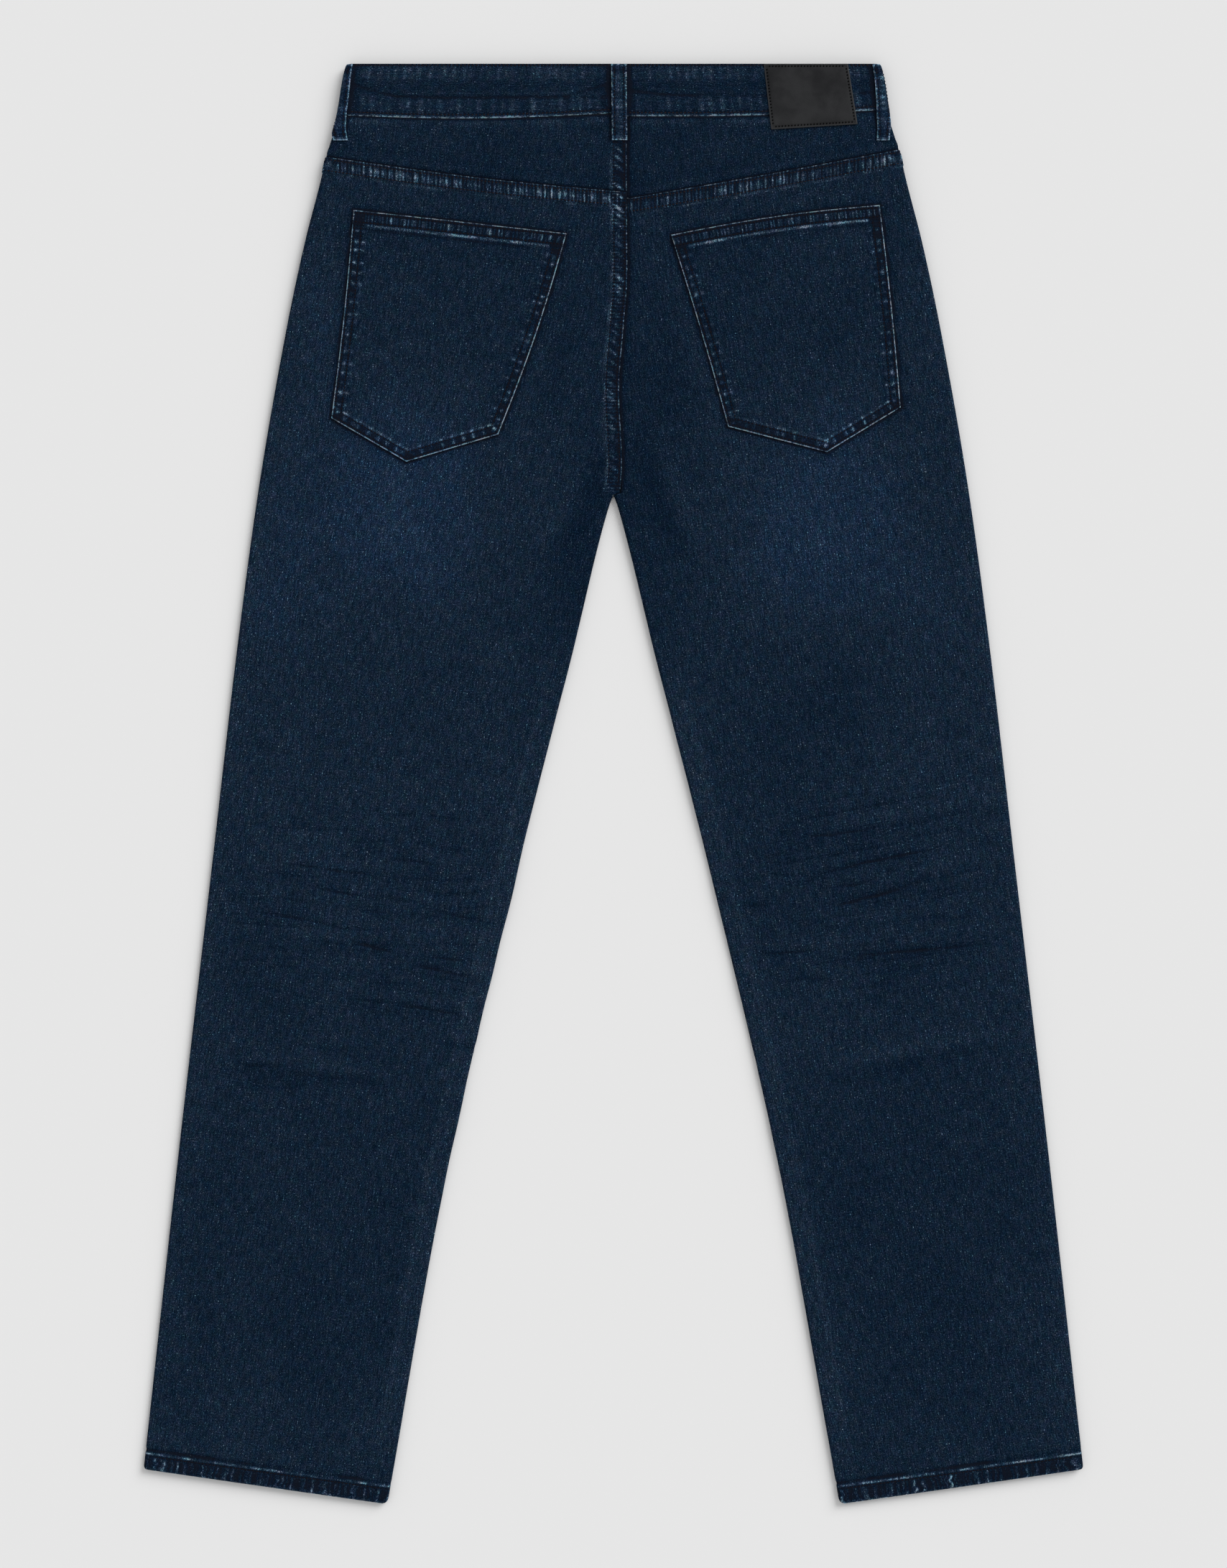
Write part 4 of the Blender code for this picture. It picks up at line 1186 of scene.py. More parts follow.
def legFront(side):
    line = bandFoot["front", side]
    downs = spacing(
        line[0] + seam["gap"] / 2,
        (line[0] + 0.014, 0.0014),
        (0.24, 0.0030),
        (0.6000, 0.0055),
        (0.7700, 0.0014),
        (1.1000, 0.0055),
        (1.1180, 0.0020),
        (1.1340, 0.0010),
    )
    fine = spacing(0.0, (0.0340, 0.0013)) if side == left else spacing(0.0, (0.012, 0.0024))
    across, down, share, _ = panelPlan("front", side, line, downs, fine, 0.0045)
    up = (lineDown(hemLine, share) - down) * 0.99
    hemLift, wearAndShade = hemRelief(up, across, 90 + side)
    wearAndShade = np.where(up < 0.04, wearAndShade, 0.0)
    flyRow = 0.0
    if side == left:  # the row of stitches round the fly
        fromFly = across - fly["width"] * (1 - ease((down - fly["turnFrom"]) / fly["turn"]) ** 2)
        flyRow = bell(fromFly, 0.0011) * (down < fly["foot"])
    # the folds behind the knee show on the front too, shallower and in the other leg's places
    sharp, soft = creaseField(-side, across, down - 0.012)
    lift = np.where(up < 0.04, np.minimum(hemLift, 0.0), 0.0) - fly["depth"] * flyRow
    taken = creased["front"]
    lift = lift + np.minimum(0.0, -taken["sharpDepth"] * sharp - taken["softDepth"] * soft)
    # the fly's row darker, painted shade in the creases and a painted highlight on their lips
    wearAndShade = wearAndShade - fly["shade"] * flyRow - taken["sharpShade"] * sharp - taken["softShade"] * soft
    outer, _ = clothPoint("front", side, across, down, lift)
    inner, _ = clothPoint("front", side, across, down, -seam["wall"] - hemPly(down, share))
    x, y = outer[..., 0], outer[..., 1]
    edge = np.clip(np.where(up < 0.003, up + 0.0003, 0.02), 0, 0.02)
    values = {"wearAndShade": wearAndShade, "edge": edge, "fade": 0.6 * fadeAt(-x, down)}
    name = words[side] + "LegFront"
    return clothShell(name, outer, inner, values, grainOf(x, y, side * warpLean), legDenim, step=3)


# how far in from the outline each side loop reaches, over distance down
sideLoopReaches = {
    left: (
        ("top", 0.0, 0.0040),
        ("band", 0.020, 0.0054),
        ("low band", 0.038, 0.0062),
        ("band foot", 0.047, 0.0072),
        ("foot", 0.060, 0.0097),
    ),
    right: (
        ("top", 0.0, 0.0066),
        ("band", 0.020, 0.0070),
        ("band foot", 0.042, 0.0090),
        ("foot", 0.060, 0.0131),
    ),
}


def sideLoopReach(side, down):
    return readTable(sideLoopReaches[side], down)


yokeLook = {
    "uneven": 0.00018,
    "seamDepth": 0.0006,  # where it dips to the leg's seam, and to the waistband
    "bandDepth": 0.0004,
    "ridge": 0.0004,
    "ripple": 0.00012,
    "seamShade": 0.44,
    "ridgeWear": 0.045,
    "bandWear": 0.12,
    "loopShade": 0.30,
}


def yokeRelief(side, across, down, share):
    inner = innerEdge("back", side, down)
    fromSeam = across - inner
    above = lineDown(yokeLine[side], share) - down
    below = down - lineDown(bandFoot["back", side], share)
    uneven = noise2(side * across / 0.022, down / 0.03, 31)
    lift = yokeLook["uneven"] * uneven * ease(above / 0.01) * ease(below / 0.01)
    lift = lift - yokeLook["seamDepth"] * bell(above, 0.0018) - yokeLook["bandDepth"] * bell(below, 0.0020)
    lift = lift + yokeLook["ridge"] * bell(above - 0.0045, 0.0030) * patches(across, 0.04, 33 + side)
    # painted shadow in the crevices above the leg's seam fold and under the waistband's fold, then a soft
    # painted shade above the seam
    wearAndShade = -yokeLook["seamShade"] * (bell(above, 0.0011) + bell(below, 0.0015))
    wearAndShade = wearAndShade - 0.035 * bell(above - 0.009, 0.006)
    ridge = bell(above - 0.0045, 0.0022) * patches(across, 0.03, 34 + side)
    rubbed = bell(below - 0.0042, 0.0026) * patches(across, 0.012, 36 + side, 0.0)
    wearAndShade = wearAndShade + yokeLook["ridgeWear"] * ridge + yokeLook["bandWear"] * rubbed
    ripple = bars(across, 0.0051, 0.0013, 60 + side)
    lift = lift + yokeLook["ripple"] * ripple * bell(above - 0.002, 0.004)
    if side == left:
        centreLift, centreWearAndShade = centreRelief(fromSeam, down)
        lift, wearAndShade = lift + centreLift, wearAndShade + centreWearAndShade
        edge = fromSeam
    else:
        lapLift, lapShade = underLap(fromSeam)
        lift, wearAndShade = lift + lapLift, wearAndShade + lapShade
        edge = np.full_like(across, 0.02)
    # painted shadow close beside and below the belt loops
    beside = np.abs(side * across - 0.0045) - 0.0068
    alongLoop = ease((0.0615 - down) / 0.002)
    wearAndShade = wearAndShade - yokeLook["loopShade"] * bell(beside, 0.0016) * alongLoop
    wearAndShade = wearAndShade - 0.24 * bell(down - 0.0618, 0.0010) * ease((0.0005 - beside) / 0.001)
    fromLoop = across - outerEdge(down) + sideLoopReach(side, down)
    wearAndShade = wearAndShade - yokeLook["loopShade"] * bell(fromLoop + 0.0010, 0.0017) * alongLoop
    return lift, wearAndShade, np.clip(edge, 0, 0.02)


def yoke(side):
    top, foot = bandFoot["back", side], yokeLine[side]
    t = np.linspace(0, 1, 44)[:, None]
    innerDown, outerDown = mix(top[0], foot[0], t), mix(top[1], foot[1], t)
    inset = seam["gap"] / 2
    innerDown, outerDown = innerDown + inset * (1 - 2 * t), outerDown + inset * (1 - 2 * t)
    inner, outer = innerEdge("back", side, innerDown), outerEdge(outerDown)
    width, half = outer - inner, levels((innerDown + outerDown) / 2)[1]
    fine = spacing(0.0, (0.0020, 0.0005), (0.0140, 0.0010))[None, :]
    arcs = half * (1 - np.cos(arcAngles))[None, ::-1]
    middle = 0.014 + (width - half - 0.014) * (np.arange(1, 150) / 150)[None, :]
    offsets = np.concatenate([fine + 0 * width, middle, width - arcs], axis=1)
    share = offsets / width
    bow = mix(top[2], foot[2], t)
    down = mix(innerDown, outerDown, share) + bow * np.sin(np.pi * share)
    across = mix(inner, outer, share)
    lift, wearAndShade, edge = yokeRelief(side, across, down, share)
    outerSkin, _ = clothPoint("back", side, across, down, lift)
    innerSkin, _ = clothPoint("back", side, across, down, -seam["wall"] + 0 * lift)
    x, y = outerSkin[..., 0], outerSkin[..., 1]
    values = {"wearAndShade": wearAndShade, "edge": edge, "fade": fadeAt(x, down)}
    name = words[side] + "Yoke"
    return clothShell(name, outerSkin, innerSkin, values, grainOf(x, y, side * 0.10), yokeDenim)


legs = {("back", side): legBack(side) for side in (left, right)}
legs.update({("front", side): legFront(side) for side in (left, right)})
yokes = {side: yoke(side) for side in (left, right)}
print("legs and yokes made")


# waistband, one strip all round

band = {
    "wall": 0.0018,
    "topRow": 0.0013,
    "footRow": 0.0027,
    "lapEnd": 0.008,
    "underlap": 0.032,
    "topPitch": 0.0068,  # puckers along the top edge
    "topWidth": 0.0017,
    "topHeight": 0.00028,
    "topWear": 0.30,
    "footPitch": 0.0078,  # and along the foot
    "footWidth": 0.0021,
    "footHeight": 0.00040,
    "footWear": 0.40,
    "rowDepth": 0.00022,
    "rowShade": 0.17,
    "seamWear": 0.78,
    "stitchPitch": 0.00306,
    "stitchWear": 0.22,
    "creaseWidth": 0.0014,
    "creaseDepth": 0.0005,
    "creaseShade": 0.22,
}


def bandStations():
    # layer, side, across and how far it is tucked behind, all the way round
    halfAt = float(levels(0.02)[1]) + seam["bandProud"]
    stations = []

    def flat(layer, side, start, end, step=0.0011, tucked=0.0):
        count = max(1, round(abs(end - start) / step))
        stations.extend((layer, side, mix(start, end, k / count), None, tucked) for k in range(count))

    def fold(side, first, second):
        for layer, angles in ((first, arcAngles[:0:-1]), (second, arcAngles)):
            stations.extend((layer, side, None, float(angle), 0.0) for angle in angles)

    edge = float(outerEdge(0.02)) - halfAt
    flat("front", right, band["lapEnd"], 0.0)
    flat("front", left, 0.0, edge)
    fold(left, "front", "back")
    flat("back", left, edge - 0.001, 0.0)
    flat("back", right, 0.0, edge)
    fold(right, "back", "front")
    flat("front", right, edge - 0.001, 0.030)
    flat("front", right, 0.030, 0.014, 0.0014, 0.5)
    flat("front", right, 0.014, 0.0, 0.0014, 1.0)
    flat("front", left, 0.0, band["underlap"], 0.0014, 1.0)
    return stations


# creases along the waistband, as tables of distance down over distance across
bandCreases = {
    left: (
        ("end", 0.050, 0.0265),
        ("mid", 0.130, 0.0268),
        ("bend", 0.165, 0.0262),
        ("side", 0.208, 0.0160),
    ),
    right: (
        ("start", 0.012, 0.0215),
        ("mid", 0.055, 0.0250),
        ("far", 0.125, 0.0252),
        ("side", 0.206, 0.0230),
    ),
}


def bandRelief(layer, side, across, down, upShare, foot, along):
    # lift over the waistband's height, and its wear with painted shade and painted highlights
    fromFoot, fromTop = foot - down, upShare * foot
    topRow, footRow = fromTop - band["topRow"], fromFoot - band["footRow"]
    specks = 0.75 + 0.5 * noise2(along / 0.0017, down / 0.0017, 103)
    topBars = specks * bars(along, band["topPitch"], band["topWidth"], 101, uneven=0.7)
    topBars = topBars * window(fromTop, 0.0026, 0.0125, 0.003)
    low = along + 0.08 * (fromFoot - 0.010)
    footBars = specks * bars(low, band["footPitch"], band["footWidth"], 111, uneven=0.75)
    footBars = footBars * window(fromFoot, 0.0036, 0.0155, 0.004)
    lift = band["topHeight"] * topBars + band["footHeight"] * footBars
    lift = lift - band["rowDepth"] * (bell(topRow, 0.0006) + bell(footRow, 0.0006))
    lift = lift - 0.0008 * np.exp(-np.maximum(fromTop, 0) / 0.0005)
    lift = lift - 0.0005 * np.exp(-np.maximum(fromFoot, 0) / 0.0004)
    lift = lift + 0.0004 * bell(fromFoot - 0.010, 0.006)
    lift = lift + 0.00012 * noise2(along / 0.02, down / 0.012, 35)
    fromCrease = fromTop - readTable(bandCreases[side], across)
    fading = patches(along, 0.035, 37, 0.5) if layer == "back" else 0.5
    crease = bell(fromCrease, band["creaseWidth"]) * fading
    lift = lift - band["creaseDepth"] * crease - 0.0003 * bell(fromCrease, 0.005) * fading
    beside = np.abs(np.abs(across - side * backLoopCentre) - 0.0075) if layer == "back" else 1.0
    wearAndShade = band["topWear"] * topBars + band["footWear"] * footBars
    wearAndShade = wearAndShade - 0.06 * window(fromFoot, 0.0036, 0.0150, 0.004)
    # painted shadow either side of the back belt loop
    wearAndShade = wearAndShade - 0.30 * bell(beside, 0.0024) - 0.07 * bell(beside, 0.0080)
    dashes = 0.45 + 0.85 * bars(along, 0.0094, 0.0026, 39, uneven=0.6)
    seamWear = band["seamWear"] * bell(fromFoot - 0.0006, 0.0009) * dashes
    wearAndShade = wearAndShade + seamWear * patches(along, 0.030, 45, 0.4)
    tugs = np.cos(2 * np.pi * along / band["stitchPitch"]) - 0.3
    rows = bell(fromFoot - 0.0030, 0.0012) + bell(fromTop - 0.0016, 0.0012)
    wearAndShade = wearAndShade + band["stitchWear"] * tugs * rows
    if layer == "back":
        fromLoop = outerEdge(down) - across - sideLoopReach(side, down)
        # painted shadow beside the side loops
        wearAndShade = wearAndShade - 0.26 * bell(fromLoop - 0.0010, 0.0022) - 0.06 * bell(fromLoop, 0.0080)
    if layer == "back" and side == left:  # a second crease rises towards the centre
        rising = fromTop - mix(0.0255, 0.0160, np.clip((0.038 - across) / 0.034, 0, 1))
        reach = ease((0.046 - across) / 0.01)
        # painted shade in the second crease, and a painted highlight on its lip
        wearAndShade = wearAndShade - 0.11 * bell(rising, 0.0012) * reach
        wearAndShade = wearAndShade + 0.10 * bell(rising + 0.0024, 0.0010) * reach
        lift = lift - 0.0004 * bell(rising, 0.0012) * reach
    # painted shade in the main crease, a painted highlight on its upper lip and painted shade in the rows
    # of stitches; the band is also a little darker 19 mm down
    wearAndShade = wearAndShade - band["creaseShade"] * crease - 0.06 * bell(fromTop - 0.019, 0.0065)
    wearAndShade = wearAndShade + 0.055 * bell(fromCrease + 0.0032, 0.0014) * fading
    wearAndShade = wearAndShade - band["rowShade"] * (bell(topRow, 0.0007) + bell(footRow, 0.0008))
    return lift, wearAndShade


def makeWaistband():
    stations = bandStations()
    shares = np.concatenate([
        [0, 0.008, 0.02, 0.036, 0.052],
        np.linspace(0.072, 0.91, 34),
        [0.928, 0.944, 0.958, 0.972, 0.986, 1.0],
    ])
    outers, inners, wearsAndShades, edges, plan = [], [], [], [], []
    along = 0.0
    for k, (layer, side, across, angle, tucked) in enumerate(stations):
        top, foot = bandTop[layer], bandFoot[layer, side]
        reach = float(outerEdge(0.02))
        share = 1.0 if across is None else np.clip(across / reach, 0, 1)
        startDown, footDown = lineDown(top, share), lineDown(foot, share) - tucked * 0.0012
        down = mix(startDown, footDown, shares)
        middle, half = levels(down)
        half = half + seam["bandProud"]
        edge = outerEdge(down)
        turned = np.pi / 2 if angle is None else angle
        place = edge * (across / reach) if angle is None else edge - half * (1 - math.cos(angle))
        fromTop, tall = down - startDown, footDown - startDown
        lift, wearAndShade = bandRelief(layer, side, place, fromTop, shares, tall, along)
        lift = lift * (1 - tucked) - tucked * (band["wall"] + 2 * seam["gap"])
        sign = upwards[layer]
        keep = 0.5 if layer == "front" and not tucked else 1.0
        innerLift = lift if tucked else 0 * lift
        for offset, into in ((lift * keep, outers), (-band["wall"] + innerLift, inners)):
            out = np.cos(turned) * offset
            height = middle + sign * (half + offset) * np.sin(turned)
            into.append(inFrame(side, place + out, down, height))
        wearsAndShades.append(wearAndShade)
        edges.append(np.minimum(footDown - down, 0.02) + 0.0002)
        plan.append(np.stack([down, np.full_like(down, along)], axis=-1))
        following = stations[k + 1] if k + 1 < len(stations) else stations[k]
        flatStep = following[2] is not None and across is not None
        along += abs(following[2] - across) if flatStep else 0.0006
    outer = np.stack(outers, axis=1)
    inner = np.stack(inners, axis=1)
    wearAndShade, edge, grain = (np.stack(a, axis=1) for a in (wearsAndShades, edges, plan))
    values = {"wearAndShade": wearAndShade, "edge": edge, "fade": fadeAt(outer[..., 0], 0.03 + 0 * wearAndShade)}
    return clothShell("waistbandStrip", outer, inner, values, grain, bandDenim, step=5)


waistband = makeWaistband()
print("waistband made")


# back pockets

def panelLift(side, across, down):
    # the broad lift of the leg panel under a pocket
    below = down - lineDown(yokeLine[side], across / outerEdge(down))
    return swell(side, across, down) * ease(below / 0.05)


def pocketGrid():
    # shares across and down a pocket, its plain rows and the columns that they keep
    wide, tall = pocket["gridSize"]
    edgeRun = spacing(0.0, (0.0024, 0.0006), (0.0130, 0.0010)) / wide
    tip, split = pocket["tipShare"], 3
    outerPart = np.linspace(edgeRun[-1], tip, 18 * split + 1)[1:]
    innerPart = np.linspace(tip, 1 - edgeRun[-1], 22 * split + 1)[1:]
    shares = np.concatenate([edgeRun, outerPart, innerPart, 1 - edgeRun[-2::-1]])[None, :]
    before, between = len(edgeRun) - 1, 40 * split
    kept = [
        *range(before),
        *range(before, before + between, split),
        *range(before + between, shares.shape[1]),
    ]
    falls = np.concatenate([
        spacing(0.0, (0.0030, 0.0006), (0.0160, 0.0008), (0.1500, 0.0012)),
        tall - spacing(0.0, (0.0024, 0.0006), (0.0140, 0.0009))[::-1],
    ])[:, None] / tall
    plainRows = [int(np.searchsorted(falls[:, 0], down / tall)) for down in (0.020, 0.152)]
    return shares, falls, (*plainRows, kept)


def pocketSideRelief(away, along, below, strength, seed):
    # puckers down one of a pocket's two long sides
    wobble = along + 0.0004 * noise1(away / 0.001, seed)
    ticks = bars(wobble, pocket["tickPitch"], pocket["tickWidth"], seed, uneven=0.6, jitter=0.18)
    places = bell(away - 0.0044, 0.0017) + 0.68 * bell(away - 0.0097, 0.0015)
    lift = pocket["tickHeight"] * ticks * places * below
    wearAndShade = below * strength * pocket["tickWear"] * ticks * places
    uneven = 0.55 + 0.9 * noise2(along / 0.005, away / 0.004, seed + 5)
    shade = 0.20 * window(away, 0.0010, 0.0076, 0.002) + 0.08 * window(away, 0.0076, 0.0120, 0.002)
    return lift, wearAndShade - below * uneven * shade


def pocketFootRelief(away, along, strength, seed):
    # puckers along one of its two lower edges
    ticks = bars(along, pocket["footPitch"], pocket["footWidth"], seed, uneven=0.9)
    places = window(away, 0.0026, 0.0064, 0.001) + 0.9 * bell(away - 0.0086, 0.0011)
    lift = pocket["footHeight"] * ticks * places
    wearAndShade = strength * pocket["footWear"] * ticks * places
    wearAndShade = wearAndShade + 0.14 * bell(away - 0.0086, 0.0010) * strength
    return lift, wearAndShade - 0.18 * window(away, 0.0012, 0.0070, 0.001)


def pocketRelief(side, measured):
    # lift, wear with painted shade under its hem and in its rows of stitches, and the distance to the rim
    # over a pocket, from the distances to its edges
    fromTop, alongTop = measured["top"]
    hemBand = ease((pocket["hem"] + 0.0004 - fromTop) / 0.0010 + 0.5)
    rungs = bars(alongTop, pocket["rungPitch"], pocket["rungWidth"], 120 + side, uneven=1.0)
    ladder = bars(
        alongTop, stitch["pitch"], pocket["ladderWidth"], 123 + side, uneven=0.6, jitter=0.12
    )
    rungs = np.maximum(rungs, 0.72 * ladder)
    insideHem = window(fromTop, 0.0028, pocket["hemRows"][1] - 0.0006, 0.0010)
    lift = pocket["hemRise"] * hemBand + pocket["rungHeight"] * rungs * insideHem
    wearAndShade = insideHem * (pocket["rungWear"] * rungs - 0.10) - pocket["hemShade"] * hemBand
    fromSides = np.minimum(measured["inner"][0], measured["outer"][0])
    hemFoot = patches(alongTop, 0.010, 125 + side, 0.60) * ease((fromSides - 0.0090) / 0.0025)
    wearAndShade = wearAndShade + pocket["hemFootWear"] * bell(fromTop - pocket["hem"] + 0.0001, 0.0011) * hemFoot
    # painted shade in the hollow under the hem's lower edge
    hollow = bell(fromTop - pocket["hem"] - 0.0028, 0.0016)
    wearAndShade = wearAndShade - 0.20 * hollow * patches(alongTop, 0.03, 127 + side, 0.1)
    for row in pocket["hemRows"]:
        lift = lift - pocket["hemRowDepth"] * bell(fromTop - row, 0.0005)
        # painted shade in the row of stitches
        wearAndShade = wearAndShade - (0.04 + 0.30 * (1 - ladder)) * bell(fromTop - row, 0.0008)
    rim = np.full(fromTop.shape, 9.0)
    for number, key in enumerate(sideKeys):
        away, along = measured[key]
        rim = np.minimum(rim, away)
        seed = 130 + 7 * number + side
        strength = patches(along, 0.025, seed + 3, 0.65)
        if key in ("inner", "outer"):
            below = ease((fromTop - 0.012) / 0.004)
            edgeLift, edgeWear = pocketSideRelief(away, along, below, strength, seed)
        else:
            edgeLift, edgeWear = pocketFootRelief(away, along, strength, seed)
        lift, wearAndShade = lift + edgeLift, wearAndShade + edgeWear
    below = ease((fromTop - 0.001) / 0.002)
    for row in pocket["sideRows"]:
        lift = lift - pocket["sideRowDepth"] * bell(rim - row, 0.0005) * below
        wearAndShade = wearAndShade - pocket["sideRowShade"] * bell(rim - row, 0.0006) * below
    tacks = 1 - 0.8 * bars(fromTop, 0.0034, 0.0008, 143 + side, uneven=0.6)
    for key in ("inner", "outer"):  # dark tacked corners
        fromSide = measured[key][0]
        corner = bell(fromSide - 0.005, 0.005) * bell(fromTop - 0.008, 0.008)
        wearAndShade = wearAndShade - pocket["cornerShade"] * corner * tacks
        tip = bell(fromTop - 0.0012, 0.0011) * bell(fromSide - 0.0030, 0.0026)
        wearAndShade = wearAndShade + pocket["cornerWear"] * tip
    return lift, wearAndShade, rim


def makePocket(side):
    shares, falls, plain = pocketGrid()
    across, down = pocketPlan(side, shares, falls)
    measured = {key: distanceTo(line, across, down) for key, line in pocketEdges(side).items()}
    fromTop = measured["top"][0]
    lift, wearAndShade, rim = pocketRelief(side, measured)
    edge = np.minimum(rim, fromTop)
    rounded = 0.00045 * np.exp(-edge / 0.0005)
    base = panelLift(side, across, down)
    fine = 0.00010 * noise2(across / 0.012, down / 0.02, 140 + side)
    height = base + seam["gap"] + pocket["wall"] + lift + fine - rounded
    outer, _ = clothPoint("back", side, across, down, height)
    inner, _ = clothPoint("back", side, across, down, base + 0.0002)
    x, y = outer[..., 0], outer[..., 1]
    fade = fadeAt(x, down) - 0.012 + 0.012 * ease(rim / 0.03) * ease(fromTop / 0.03)
    values = {"wearAndShade": wearAndShade, "edge": np.clip(edge, 0, 0.02), "fade": fade}
    grain = grainOf(x, y, side * warpLean)
    return clothShell(words[side] + "Pocket", outer, inner, values, grain, pocketDenim, plain=plain)


pockets = {side: makePocket(side) for side in (left, right)}
print("pockets made")


# belt loops

loop = {
    "width": 0.0120,
    "sideWidth": {left: 0.0112, right: 0.0102},
    "length": 0.0600,
    "wall": 0.0013,
    "slack": 0.0005,
    "row": 0.0023,
    "rows": 72,  # of points down a loop
    "columns": 19,
    "sideColumns": 25,
    "tickPitch": 0.0046,
    "tickWidth": 0.0010,
    "tickHeight": 0.00016,
    "tickWear": 0.40,
    "edgeWear": 0.50,
    "endWear": 0.26,
    "footShade": 0.17,
    "fade": 0.028,
    # side loops: a lighter tone, partly painted light, most on the left loop, which faces away from the
    # light
    "sideFadeAndLight": {left: 0.065, right: 0.045},
    "frontAcross": 0.0950,
    "stitchShares": (0.19, 0.81),  # across its width
}


def loopRelief(fromSide, run, seed):
    # lift, wear and edge over a loop. fromSide is the distance from its nearer edge.
    ends = np.minimum(run, loop["length"] - run)
    lift = -0.00018 * bell(fromSide - loop["row"], 0.0006) - 0.0004 * np.exp(-fromSide / 0.0004)
    lift = lift - 0.0005 * np.exp(-np.maximum(ends, 0) / 0.0006)
    ticks = bars(run, loop["tickPitch"], loop["tickWidth"], seed, uneven=0.9)
    lift = lift + loop["tickHeight"] * ticks
    wearAndShade = loop["tickWear"] * ticks * bell(fromSide - 0.0048, 0.0016)
    wearAndShade = wearAndShade + 0.18 * bars(run, 0.013, 0.0035, seed + 1) - 0.02
    # painted shade in the rows of stitches
    wearAndShade = wearAndShade - 0.18 * bell(fromSide - loop["row"], 0.0008)
    wearAndShade = wearAndShade - loop["footShade"] * bell(ends - 0.0052, 0.0030)
    wearAndShade = wearAndShade + loop["endWear"] * bell(ends - 0.0006, 0.0012)
    fine = bars(run, 0.0031, 0.0007, seed + 4, uneven=0.8)
    wearAndShade = wearAndShade + loop["edgeWear"] * fine * bell(fromSide - 0.0009, 0.0009)
    edge = np.minimum(fromSide, ends + 0.0001)
    return lift, wearAndShade, np.clip(edge, 0, 0.02)


def slackAt(run):
    return loop["slack"] * window(run, 0.008, 0.044, 0.016)


def overBand(layer, side, across, down):
    # how far a loop's bed stands over the panel: the waistband, and then nothing
    foot = lineDown(bandFoot[layer, side], np.clip(across / outerEdge(down), 0, 1))
    return seam["bandProud"] * (1 - ease((down - foot + 0.003) / 0.009))


def makeFlatLoop(name, layer, side, centre, top, seed, lean=0.0):
    runs = np.linspace(0, loop["length"], loop["rows"])[:, None]
    offsets = np.linspace(-loop["width"] / 2, loop["width"] / 2, loop["columns"])[None, :]
    across = centre + side * lean * runs / loop["length"] + offsets
    down = top + runs + 0 * offsets
    fromSide = loop["width"] / 2 - np.abs(offsets) + 0 * runs
    lift, wearAndShade, edge = loopRelief(fromSide, runs + 0 * offsets, seed)
    over = overBand(layer, side, np.abs(across), down)
    if layer == "back":  # it crosses the felled centre seam below the waistband
        over = over + seam["raise"] * ease((runs - 0.034) / 0.010)
    bed = over + seam["gap"] + slackAt(runs)
    skins = []
    for offset in (bed + loop["wall"] + lift, bed):
        middle, half = levels(down)
        sign = upwards[layer]
        limit = middle - 0.0007 if layer == "front" else 1.0
        rise = np.minimum(half + offset, limit)
        skins.append(inFrame(side, across, down, middle + sign * rise))
    values = {"wearAndShade": wearAndShade, "edge": edge, "fade": loop["fade"] + 0 * wearAndShade}
    grain = np.stack([offsets + 0 * runs, runs + 0 * offsets], axis=-1)
    return clothShell(name, skins[0], skins[1], values, grain, loopDenim, step=3)


# where each side loop's outer edge lies: girth from the fold, over distance down
sideLoopStart = {
    left: (
        ("top", 0.0, -0.0052),
        ("band", 0.020, -0.0039),
        ("low band", 0.038, -0.0032),
        ("band foot", 0.047, -0.0018),
        ("foot", 0.060, 0.0039),
    ),
    right: (
        ("top", 0.0, -0.0026),
        ("band", 0.020, -0.0014),
        ("band foot", 0.042, 0.0011),
        ("foot", 0.060, 0.0069),
    ),
}


def makeSideLoop(side):
    runs = np.linspace(0, loop["length"], loop["rows"])[:, None]
    wide = loop["sideWidth"][side]
    offsets = np.linspace(0, wide, loop["sideColumns"])[None, :]
    girth = readTable(sideLoopStart[side], runs) + offsets
    down = 0.0005 + runs + 0 * offsets
    fromSide = wide / 2 - np.abs(offsets - wide / 2) + 0 * runs
    lift, wearAndShade, edge = loopRelief(fromSide, runs + 0 * offsets, 150 + side)
    middle, half = levels(down)
    outer = outerEdge(down)
    half = half + overBand("back", side, outer, down)
    quarter = half * np.pi / 2
    turned = np.minimum(np.abs(girth) / quarter, 1.0) * np.pi / 2
    flat = np.maximum(np.abs(girth) - quarter, 0.0)
    sign = np.where(girth >= 0, 1.0, -1.0)
    bed = seam["gap"] + slackAt(runs)
    skins = []
    for offset in (bed + loop["wall"] + lift, bed + 0 * lift):
        across = outer - half - flat + (half + offset) * np.cos(turned)
        rise = (half + offset) * np.sin(turned)
        rise = np.where(sign < 0, np.minimum(rise, middle - 0.0007), rise)
        skins.append(inFrame(side, across, down, middle + sign * rise))
    values = {"wearAndShade": wearAndShade, "edge": edge, "fade": loop["sideFadeAndLight"][side] + 0 * wearAndShade}
    grain = np.stack([offsets + 0 * runs, runs + 0 * offsets], axis=-1)
    name = words[side] + "SideLoop"
    return clothShell(name, skins[0], skins[1], values, grain, loopDenim, step=3)


